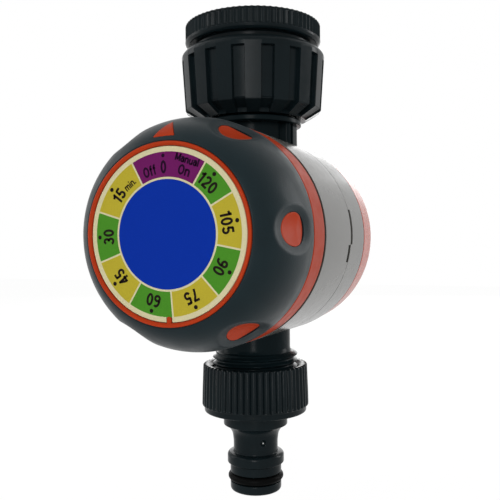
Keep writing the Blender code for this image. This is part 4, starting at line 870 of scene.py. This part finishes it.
def knob_frame(angle, radius, y, tilt):
    """Rows are the directions across, along and out of the knob's surface, and their origin."""
    a = angle + KNOB_TURN
    across = np.array([math.cos(a), 0, -math.sin(a)])
    radial = np.array([math.sin(a), 0, math.cos(a)])
    back = np.array([0, 1, 0])
    out = math.cos(tilt) * radial - math.sin(tilt) * back
    along = math.sin(tilt) * radial + math.cos(tilt) * back
    origin = radial * radius + back * y + np.array([0, 0, KNOB_Z])
    return np.stack([across, along, out]), origin


def scoop_frames():
    """The frame of each scoop, where its middle stands on the dome."""
    share = (DOME_Y - SCOOP_Y) / DOME_REACH
    surface_r = DOME_CENTRE_R + DOME_RISE * math.sqrt(1 - share ** 2)
    return [knob_frame(TURN * (i + 0.5) / SCOOPS, surface_r, SCOOP_Y, SCOOP_TILT)
            for i in range(SCOOPS)]


def scooped(points, normals):
    """How deep each surface point sinks: the way inwards along its normal to the far wall of each
    scoop's ellipsoid, from the quadratic |(p - t n - c) / size| = 1, with the edge rolled over by a
    smooth maximum."""
    sunk = np.zeros(points.shape[:-1])
    roll = 0.0009
    for axes, origin in scoop_frames():
        centre = origin + axes[2] * SCOOP_LIFT
        q = (points - centre) @ axes.T / SCOOP_SIZE
        m = normals @ axes.T / SCOOP_SIZE
        a = (m * m).sum(-1)
        b = (q * m).sum(-1)
        c = (q * q).sum(-1) - 1
        inside = b * b - a * c
        depth = np.where(inside > 0, (b + np.sqrt(np.maximum(inside, 0))) / a, -1.0)
        depth = np.where(depth < 0.006, depth, -1.0)
        lap = np.maximum(roll - np.abs(depth), 0) / roll
        sunk += np.maximum(depth, 0) + lap * lap * roll / 4
    return sunk


def make_grip():
    """Soft grip: the dome's surface sunk by the scoops, closed by its inner wall, with windows cut
    for the ovals and for the triangle."""
    back_edge = [(KNOB_R - 0.0004, GRIP_BACK_Y), (KNOB_R - 0.00012, GRIP_BACK_Y - 0.00012),
                 (KNOB_R, GRIP_BACK_Y - 0.0004)]
    straight = np.array([(KNOB_R, GRIP_BACK_Y - 0.0007), (KNOB_R, DOME_Y)])
    straight = filled(straight, 0.0004, closed=False)[:-1]
    outer = np.vstack([back_edge, straight, dome(0, RING_R + 0.0003, 66)])
    front_y = outer[-1, 1]
    lip = [(RING_R + 0.00014, front_y + 0.00003), (RING_R + 0.0001, front_y + 0.0002)]
    inner = dome(GRIP_THICK, RING_R + 0.0001, 12)[::-1]
    profile = np.vstack([outer, lip, inner, [(KNOB_R - GRIP_THICK, GRIP_BACK_Y)]])
    normal = outward(profile)
    angle = round_turn(600)[None, :]
    points = around_knob(profile[:, :1], angle, profile[:, 1:])
    normals = points_at(normal[:, :1] * np.sin(angle), normal[:, 1:], normal[:, :1] * np.cos(angle))
    sunk = scooped(points, normals)
    sunk[len(outer):] = 0
    points = points - normals * sunk[..., None]
    body = merged_mesh("grip_body", [surface(points, wrap_rows=True)])
    windows = [(*place, oval(WINDOW_CLEARANCE)) for place in scoop_frames()]
    windows.append((*mark_frame(), triangle(WINDOW_CLEARANCE)))
    holes = [prism(*window, -WINDOW_REACH, WINDOW_REACH) for window in windows]
    body = carved(body, merged_mesh("grip_windows", holes))
    piece("soft_grip", body, GRIP, "knob", "grip_soft_grey", "knob_grip", degrees=50)


def oval(grow=0.0):
    """A pad's outline at the bottom of its scoop."""
    return ellipse(0, PAD_SHIFT, PAD_SIZE[0] + grow, PAD_SIZE[1] + grow, round_turn(72))


def triangle(grow=0.0):
    """The mark at the top: its point towards the back, its corners slightly rounded."""
    half = 0.0029 + 1.4 * grow
    base = -0.0031 - grow
    tip = 0.0035 + 2 * grow
    return filled(rounded([(-half, base, 0.0003), (half, base, 0.0003), (0, tip, 0.0003)]), 0.0003)


def mark_frame():
    """The frame of the mark at the top, square to the dome."""
    mark_r = 0.0257
    lean = math.sqrt(1 - ((mark_r - DOME_CENTRE_R) / DOME_RISE) ** 2)
    mark_y = DOME_Y - DOME_REACH * lean
    tilt = math.atan2((DOME_Y - mark_y) / DOME_REACH ** 2,
                      (mark_r - DOME_CENTRE_R) / DOME_RISE ** 2)
    return knob_frame(0, mark_r, mark_y, tilt)


def laid_out(axes, origin, flat):
    """Points (across, along) laid out on a frame on the knob."""
    return origin + flat[..., :1] * axes[0] + flat[..., 1:] * axes[1]


def prism(axes, origin, outline, low, high):
    """An outline (across, along) carried along the out direction of a frame on the knob."""
    flat = laid_out(axes, origin, outline)
    return surface(np.stack([flat + low * axes[2], flat + high * axes[2]]))


def on_dome(points):
    """Zero on the dome's surface, negative inside it."""
    radius = np.hypot(points[..., 0], points[..., 2] - KNOB_Z)
    rise = np.maximum(radius - DOME_CENTRE_R, 0) / DOME_RISE
    return rise ** 2 + (np.minimum(points[..., 1] - DOME_Y, 0) / DOME_REACH) ** 2 - 1


def in_scoop(axes, origin):
    """Zero on one scoop's wall, positive in its hollow."""
    centre = origin + axes[2] * SCOOP_LIFT

    def field(points):
        q = (points - centre) @ axes.T / SCOOP_SIZE
        return 1 - (q * q).sum(-1)

    return field


def inlay(axes, origin, outline, field, proud, depth, sink=0.0):
    """A plug whose face follows a surface: the outline shrunk in rings towards its middle, each
    point moved out until the field is zero by Newton's steps, with a rolled edge and straight
    sides.  Its last third along the knob dips by the sink."""
    middle = outline.mean(axis=0)
    face_rings = 14
    shrink = np.concatenate([np.linspace(0, 0.93, face_rings), [0.96, 0.985, 1.0]])
    flat = middle + (outline - middle)[None] * shrink[:, None, None]
    base = laid_out(axes, origin, flat)
    height = np.zeros(flat.shape[:-1])
    step = 1e-5
    for _ in range(12):
        value = field(base + height[..., None] * axes[2])
        slope = (field(base + (height + step)[..., None] * axes[2]) - value) / step
        height = height - np.clip(value / slope, -0.002, 0.002)
    edge = np.array([0] * face_rings + [0.00002, 0.00006, 0.00016])[:, None]
    dip = sink * smoothstep(outline[:, 1].max() - 0.0030, outline[:, 1].max(), flat[..., 1])
    top = base + (height + proud - edge - dip)[..., None] * axes[2]
    sides = base[-1:] - depth * axes[2]
    bottom = np.broadcast_to(laid_out(axes, origin, middle) - depth * axes[2], sides.shape)
    return surface(np.concatenate([top, sides, bottom]))


def make_knob_shell():
    """Orange inner shell: back band, dome under the grip, front ring, and the plugs that show."""
    under = dome(GRIP_THICK + 0.0003, RING_R, 20)
    front = rounded([
        (RING_R, -0.05200, 0), (RING_R, -0.05490, 0.00020), (0.02185, -0.05513, 0.00025),
        (0.02155, -0.05513, 0.0002), (0.02104, -0.05470, 0.00015), (0.02104, RECESS_Y, 0.0001),
        (0.0035, RECESS_Y), (0.0035, RECESS_Y + 0.0012), (0.0012, RECESS_Y + 0.0012),
        (0.0012, -0.04435), (0.0062, -0.04435), (0.0062, -0.05123), (0.0187, -0.05123),
        (0.0230, -0.04703), (0.0230, -0.03105), (0.0277, -0.02855), (0.0277, BAND_BACK_Y),
        ], closed=False)
    band_front_y = GRIP_BACK_Y + 0.00018
    band = rounded([(0.0277, BAND_BACK_Y, 0), (KNOB_R, BAND_BACK_Y, 0.0004),
                    (KNOB_R, band_front_y, 0.0003), (0.0263, band_front_y, 0)], closed=False)[1:]
    profile = filled(np.vstack([band, under, front]), 0.003)
    surfaces = [turned(profile, 360, around_knob)]
    for place in scoop_frames():
        surfaces.append(inlay(*place, oval(), in_scoop(*place), PLUG_PROUD, PLUG_DEPTH, PAD_SINK))
    surfaces.append(inlay(*mark_frame(), triangle(), on_dome, PLUG_PROUD, PLUG_DEPTH))
    surfaces.append(keyway(0.0006, 0.0201, 0.0214, -0.05470, -0.05360))
    mesh = merged_mesh("inner_shell_body", surfaces)
    piece("knob_inner_shell", mesh, ORANGE, "knob", "shell_orange", "knob_shell", degrees=38)


def keyway(half, inner, outer, front, back):
    """A block along Y below the dial's middle, rounded at its inner end: the key that holds the
    dial, and the notch that takes it."""
    (across, along, out), origin = knob_frame(math.pi, 0, 0, 0)
    swing = np.linspace(0, math.pi, 14)
    outline = np.vstack([ellipse(0, inner, half, -half, swing), [(-half, outer), (half, outer)]])
    return prism((across, out, along), origin, outline, front, back)


# ---------------------------------------------------------------- dial

INK = 0.00003                       # thickness of a layer of ink
SECTOR_INNER_R = 0.0136
SECTOR_OUTER_R = 0.0196
DOT_CIRCLE_R = 0.0187

# Where the coloured sectors meet and where the numbers stand, in degrees clockwise from the top.
BOUNDS = (34.5, 63.5, 102.9, 138.3, 177.0, 213.6, 252.0, 288.9, 333.8)
DOTS = ((45.2, "120"), (82.9, "105"), (120.3, "90"), (157.4, "75"), (194.8, "60"), (232.4, "45"),
        (270.3, "30"), (308.3, "15"))


def on_dial(across, out, lift):
    """Points on the dial's face from their places to the right of and above its middle."""
    c, s = math.cos(KNOB_TURN), math.sin(KNOB_TURN)
    x = across * c + out * s
    z = out * c - across * s
    return points_at(x, DIAL_FACE_Y - lift, KNOB_Z + z)


def inked_ring(inner, outer, start, end, margin):
    """A thin solid sector of the dial, its straight sides a fixed margin inside its two angles."""
    share = np.linspace(0, 1, 48)[None, :]
    radius = np.array([inner, outer, outer, inner])[:, None]
    lift = np.array([INK, INK, -INK, -INK])[:, None]
    low = math.radians(start) + margin / radius
    high = math.radians(end) - margin / radius
    angle = low + (high - low) * share
    points = on_dial(radius * np.sin(angle), radius * np.cos(angle), lift)
    return surface(points, wrap_rows=True, wrap_columns=False)


def inked_disc(radius, centre=(0.0, 0.0), lift=INK, count=160):
    """A thin solid disc on the dial, round a point given by its angle and radius."""
    angle = round_turn(count)
    out = radius * np.array([0, 1, 1, 0])[:, None]
    middle = centre[1] * math.sin(centre[0]), centre[1] * math.cos(centre[0])
    height = np.array([lift, lift, -INK, -INK])[:, None]
    points = on_dial(middle[0] + out * np.sin(angle), middle[1] + out * np.cos(angle), height)
    return surface(points, wrap_rows=True)


def arc(x, y, across, up, start, end, count=26):
    """Part of an ellipse's outline between two angles in degrees, anticlockwise from the right."""
    return ellipse(x, y, across, up, np.radians(np.linspace(start, end, count)))


def line(*parts):
    """A path through points and arcs."""
    return np.vstack(parts)


SIX = [arc(0.30, 0.285, 0.215, 0.200, 0, 360, 40), arc(0.365, 0.42, 0.28, 0.495, 180, 60)]

# Each letter's width and the centre lines of its strokes, for a capital 1 high on a baseline at 0.
GLYPHS = {
    "0": (0.60, [arc(0.30, 0.50, 0.215, 0.415, 0, 360, 48)]),
    "1": (0.46, [line((0.33, 0), (0.33, 1)), line((0.33, 0.90), (0.22, 0.80), (0.06, 0.735))]),
    "2": (0.60, [line(arc(0.30, 0.69, 0.205, 0.225, 172, -38), (0.12, 0.13)),
                 line((0.03, 0.085), (0.57, 0.085))]),
    "3": (0.60, [arc(0.285, 0.705, 0.185, 0.210, 160, -92),
                 arc(0.285, 0.300, 0.220, 0.215, 92, -162)]),
    "4": (0.60, [line((0.43, 0.93), (0.08, 0.34)), line((0.02, 0.31), (0.59, 0.31)),
                 line((0.42, 1), (0.42, 0))]),
    "5": (0.60, [line((0.13, 0.915), (0.54, 0.915)), line((0.17, 0.96), (0.115, 0.47)),
                 arc(0.29, 0.310, 0.220, 0.225, 140, -160)]),
    "6": (0.60, SIX),
    "7": (0.60, [line((0.03, 0.915), (0.57, 0.915)),
                 line((0.50, 0.90), (0.34, 0.62), (0.25, 0.30), (0.21, 0))]),
    "9": (0.60, [(0.6, 1.0) - part for part in SIX]),
    "O": (0.78, [arc(0.39, 0.50, 0.300, 0.415, 0, 360, 48)]),
    "f": (0.38, [line((0.17, 0), arc(0.33, 0.80, 0.160, 0.115, 180, 75, 12)),
                 line((0.02, 0.655), (0.36, 0.655))]),
    "M": (0.86, [line((0.09, 0), (0.09, 1.0)), line((0.09, 0.96), (0.43, 0.14)),
                 line((0.43, 0.14), (0.77, 0.96)), line((0.77, 1.0), (0.77, 0))]),
    "a": (0.58, [arc(0.27, 0.265, 0.185, 0.205, 0, 360, 30),
                 line(arc(0.27, 0.52, 0.215, 0.150, 160, 0, 14), (0.485, 0))]),
    "i": (0.20, [line((0.10, 0), (0.10, 0.68)), line((0.10, 0.83), (0.10, 1.0))]),
    "l": (0.20, [line((0.10, 0), (0.10, 1.0))]),
    "m": (0.96, [line((0.09, 0), (0.09, 0.72)),
                 line(arc(0.285, 0.49, 0.195, 0.155, 180, 0, 18), (0.48, 0)),
                 line(arc(0.675, 0.49, 0.195, 0.155, 180, 0, 18), (0.87, 0))]),
    "u": (0.62, [line((0.09, 0.68), arc(0.31, 0.24, 0.220, 0.175, 180, 360, 20)),
                 line((0.53, 0.68), (0.53, 0))]),
    ".": (0.20, [line((0.10, 0), (0.10, 0.17))]),
    "n": (0.62, [line((0.09, 0), (0.09, 0.72)),
                 line(arc(0.31, 0.47, 0.220, 0.175, 180, 0, 20), (0.53, 0))]),
}


def stroke(path, weight):
    """A letter's stroke: its centre line widened by half the weight along its normal, as the four
    edges of a flat bar, and whether it runs round to its start."""
    closed = np.linalg.norm(path[0] - path[-1]) < 1e-6
    route = path[:-1] if closed else path
    side = outward(route, closed) * weight / 2
    return np.stack([route + side, route - side, route - side, route + side]), closed


def lettering(name, words, finish, weight):
    """Raised print.  Each word, (text, degrees, radius, height, narrowing), stands with its top
    outwards at its angle and radius on the dial."""
    spacing = 0.10
    strokes = []
    for text, degrees, radius, size, narrow in words:
        wide = sum(GLYPHS[letter][0] for letter in text) + spacing * (len(text) - 1)
        start = -wide / 2
        angle = math.radians(degrees)
        for letter in text:
            for path in GLYPHS[letter][1]:
                edges, closed = stroke(path, weight)
                across = (edges[..., 0] + start) * size * narrow
                out = radius + (edges[..., 1] - 0.5) * size
                lift = np.array([2 * INK, 2 * INK, 0, 0])[:, None]
                points = on_dial(across * math.cos(angle) + out * math.sin(angle),
                                 out * math.cos(angle) - across * math.sin(angle), lift)
                strokes.append(surface(points, wrap_rows=True, wrap_columns=closed))
            start += GLYPHS[letter][0] + spacing
    piece(name, merged_mesh(name + "_print", strokes), finish, "knob", "dial_print", degrees=30)


def make_dial():
    """Foil disc with its notch, the coloured sectors, the blue middle and the printed numbers."""
    edge = 0.0001
    back_y = DIAL_FACE_Y + 0.0005
    disc = np.array([(0, back_y), (DIAL_R, back_y), (DIAL_R, DIAL_FACE_Y + edge),
                     (DIAL_R - edge, DIAL_FACE_Y), (0, DIAL_FACE_Y)])
    foil = merged_mesh("foil_disc", [turned(disc, 288, around_knob, closed=False)])
    notch = keyway(0.0008, 0.0200, 0.0220, DIAL_FACE_Y - 0.001, DIAL_FACE_Y + 0.002)
    foil = carved(foil, merged_mesh("foil_notch", [notch]))
    piece("dial_foil", foil, CREAM_INK, "knob", "dial_print", "dial_label")

    sectors = {"green": [], "yellow": [], "purple": []}
    colours = ("green", "yellow") * 4 + ("purple",)
    for colour, start, end in zip(colours, BOUNDS, (*BOUNDS[1:], BOUNDS[0] + 360)):
        sectors[colour].append(inked_ring(SECTOR_INNER_R, SECTOR_OUTER_R, start, end, 0.00022))
    for colour, ink in (("green", GREEN_INK), ("yellow", YELLOW_INK), ("purple", PURPLE_INK)):
        mesh = merged_mesh(colour + "_print", sectors[colour])
        piece(colour + "_sectors", mesh, ink, "knob", "dial_print")
    middle = merged_mesh("blue_print", [inked_disc(0.0131)])
    piece("blue_middle", middle, BLUE_INK, "knob", "dial_print")
    marks = [inked_disc(0.00050, (math.radians(a), DOT_CIRCLE_R), 2 * INK, 32) for a, _ in DOTS]
    piece("minute_dots", merged_mesh("dot_print", marks), DARK_INK, "knob", "dial_print")
    start_dot = merged_mesh("start_print", [inked_disc(0.00045, (0.0, DOT_CIRCLE_R), 2 * INK, 32)])
    piece("start_dot", start_dot, PLUM_INK, "knob", "dial_print")
    numbers = [(text, a, 0.0161, 0.0030, 0.95) for a, text in DOTS]
    lettering("minute_numbers", numbers, DARK_INK, 0.20)
    lettering("minute_mark", [("min.", 323.0, 0.0157, 0.0018, 0.82)], DARK_INK, 0.20)
    starts = [("0", 0.0, 0.0160, 0.0030, 0.80), ("Off", -14.0, 0.0157, 0.0025, 0.80),
              ("On", 20.5, 0.0157, 0.0024, 0.88)]
    lettering("start_words", starts, PLUM_INK, 0.21)
    lettering("manual_word", [("Manual", 20.5, 0.0183, 0.0018, 0.90)], PLUM_INK, 0.24)


# ---------------------------------------------------------------- carried-over pieces

INNER_FINISHES = {
    "valve_bonnet": BLACK, "port_disc": CERAMIC, "valve_rotor": CERAMIC, "spindle_oring": RUBBER,
    "bonnet_screw_1": STEEL, "bonnet_screw_2": STEEL, "bonnet_screw_3": STEEL, "knob_screw": STEEL,
    "knob_spindle": STEEL, "great_wheel": BRASS, "idler_wheel": BRASS, "escape_wheel": BRASS,
    "balance_wheel": BRASS, "movement_front_plate": BRASS, "movement_rear_plate": BRASS,
    "movement_pillar_1": STEEL, "movement_pillar_2": STEEL, "movement_pillar_3": STEEL,
    "mainspring": STEEL,
}


def finish_inner_pieces():
    """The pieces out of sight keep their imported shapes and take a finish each."""
    for node, look in INNER_FINISHES.items():
        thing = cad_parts[node]
        for slot in thing.material_slots:
            slot.material = look


# ---------------------------------------------------------------- studio


def make_floor(height):
    """A wide flat pale floor.  Most of its brightness towards the camera and in reflections is its
    own, so that it stays pale under plain lamps and still takes the shadow."""
    ends = (-1.2, 1.2)
    corners = np.array([[(x, y, height) for x in ends] for y in ends])
    mesh = merged_mesh("floor_sheet", [surface(corners, wrap_columns=False)])
    made, tree, shader = finish("floor_paper", (0.90, 0.90, 0.90), 0.8)
    glow = shader_node(tree, "Emission", {"Color": (1, 1, 1, 1), "Strength": 1.04})
    scaled = shader_node(tree, "Math", {1: 0.90}, operation="MULTIPLY")
    tree.links.new(seen_directly(tree), scaled.inputs[0])
    inputs = {"Fac": scaled.outputs["Value"], 1: shader.outputs["BSDF"],
              2: glow.outputs["Emission"]}
    mix = shader_node(tree, "MixShader", inputs)
    tree.links.new(mix.outputs["Shader"], tree.nodes["Material Output"].inputs["Surface"])
    mesh.materials.append(made)
    floor = placed("floor", mesh)


def seen_directly(tree):
    """1 for rays from the camera, off a mirror or through glass, 0 for the others."""
    path = shader_node(tree, "LightPath", {})
    kinds = ("Is Camera Ray", "Is Glossy Ray", "Is Transmission Ray")
    return highest(tree, *(path.outputs[kind] for kind in kinds))


def make_world():
    """White all round, dimmer as a light than where it is seen or mirrored."""
    world = bpy.data.worlds.new("studio")
    bpy.context.scene.world = world
    world.use_nodes = True
    tree = world.node_tree
    background = tree.nodes["Background"]
    background.inputs["Color"].default_value = (1, 1, 1, 1)
    inputs = {"Value": seen_directly(tree), "To Min": 0.45, "To Max": 1.0}
    strength = shader_node(tree, "MapRange", inputs)
    tree.links.new(strength.outputs["Result"], background.inputs["Strength"])


def lamp(name, place, aim, width, height, power):
    """A rectangular lamp that faces a point."""
    light = bpy.data.lights.new(name, "AREA")
    light.shape = "RECTANGLE"
    light.size = width
    light.size_y = height
    light.energy = power
    thing = placed(name, light)
    thing.location = place
    thing.rotation_euler = (Vector(aim) - Vector(place)).to_track_quat("-Z", "Y").to_euler()


def make_camera():
    """Camera below the knob's height, turned to its right, with a slight dip and roll."""
    turn = math.radians(22.86)
    dip = math.radians(-0.428)
    roll = math.radians(-0.417)
    right = Vector((math.cos(turn), math.sin(turn), 0))
    ahead = Vector((-math.sin(turn), math.cos(turn), 0))
    up = Vector((0, 0, 1))
    view = ahead * math.cos(dip) + up * math.sin(dip)
    top = up * math.cos(dip) - ahead * math.sin(dip)
    side = right * math.cos(roll) + top * math.sin(roll)
    head = top * math.cos(roll) - right * math.sin(roll)
    data = bpy.data.cameras.new("camera")
    data.sensor_width = 36
    data.lens = 48.492
    data.clip_start = 0.01
    camera = placed("camera", data)
    place = Matrix((side, head, -view)).transposed().to_4x4()
    place.translation = (0.08019, -0.19368, -0.06716)
    camera.matrix_world = place
    bpy.context.scene.camera = camera


make_reducer()
make_inlet_seals()
make_nut()
make_valve_body()
make_adaptor()
make_housing()
make_cover()
make_cover_screws()
make_grip()
make_knob_shell()
make_dial()
finish_inner_pieces()

make_floor(CAD_BOX[0][2] - 0.0090)    # below the tip when the adaptor is screwed down
make_world()
MIDDLE = (0, -0.01, -0.07)
lamp("key", (0.22, -0.85, 0.14), MIDDLE, 0.25, 0.40, 2.6)
lamp("fill", (-0.50, -0.60, 0.45), MIDDLE, 0.4, 0.6, 1.0)
lamp("neck_glint", (0.074, -0.239, -0.133), (0, 0, -0.0985), 0.05, 0.014, 0.06)
lamp("backdrop", (-0.25, 0.85, 0.05), MIDDLE, 0.60, 0.34, 1.2)
lamp("rim", (0.66, 0.60, 0.10), MIDDLE, 0.26, 0.70, 3.2)
lamp("rim_left", (-0.75, -0.05, 0.12), MIDDLE, 0.25, 0.70, 1.2)
make_camera()

scene = bpy.context.scene
scene.view_settings.view_transform = "Standard"
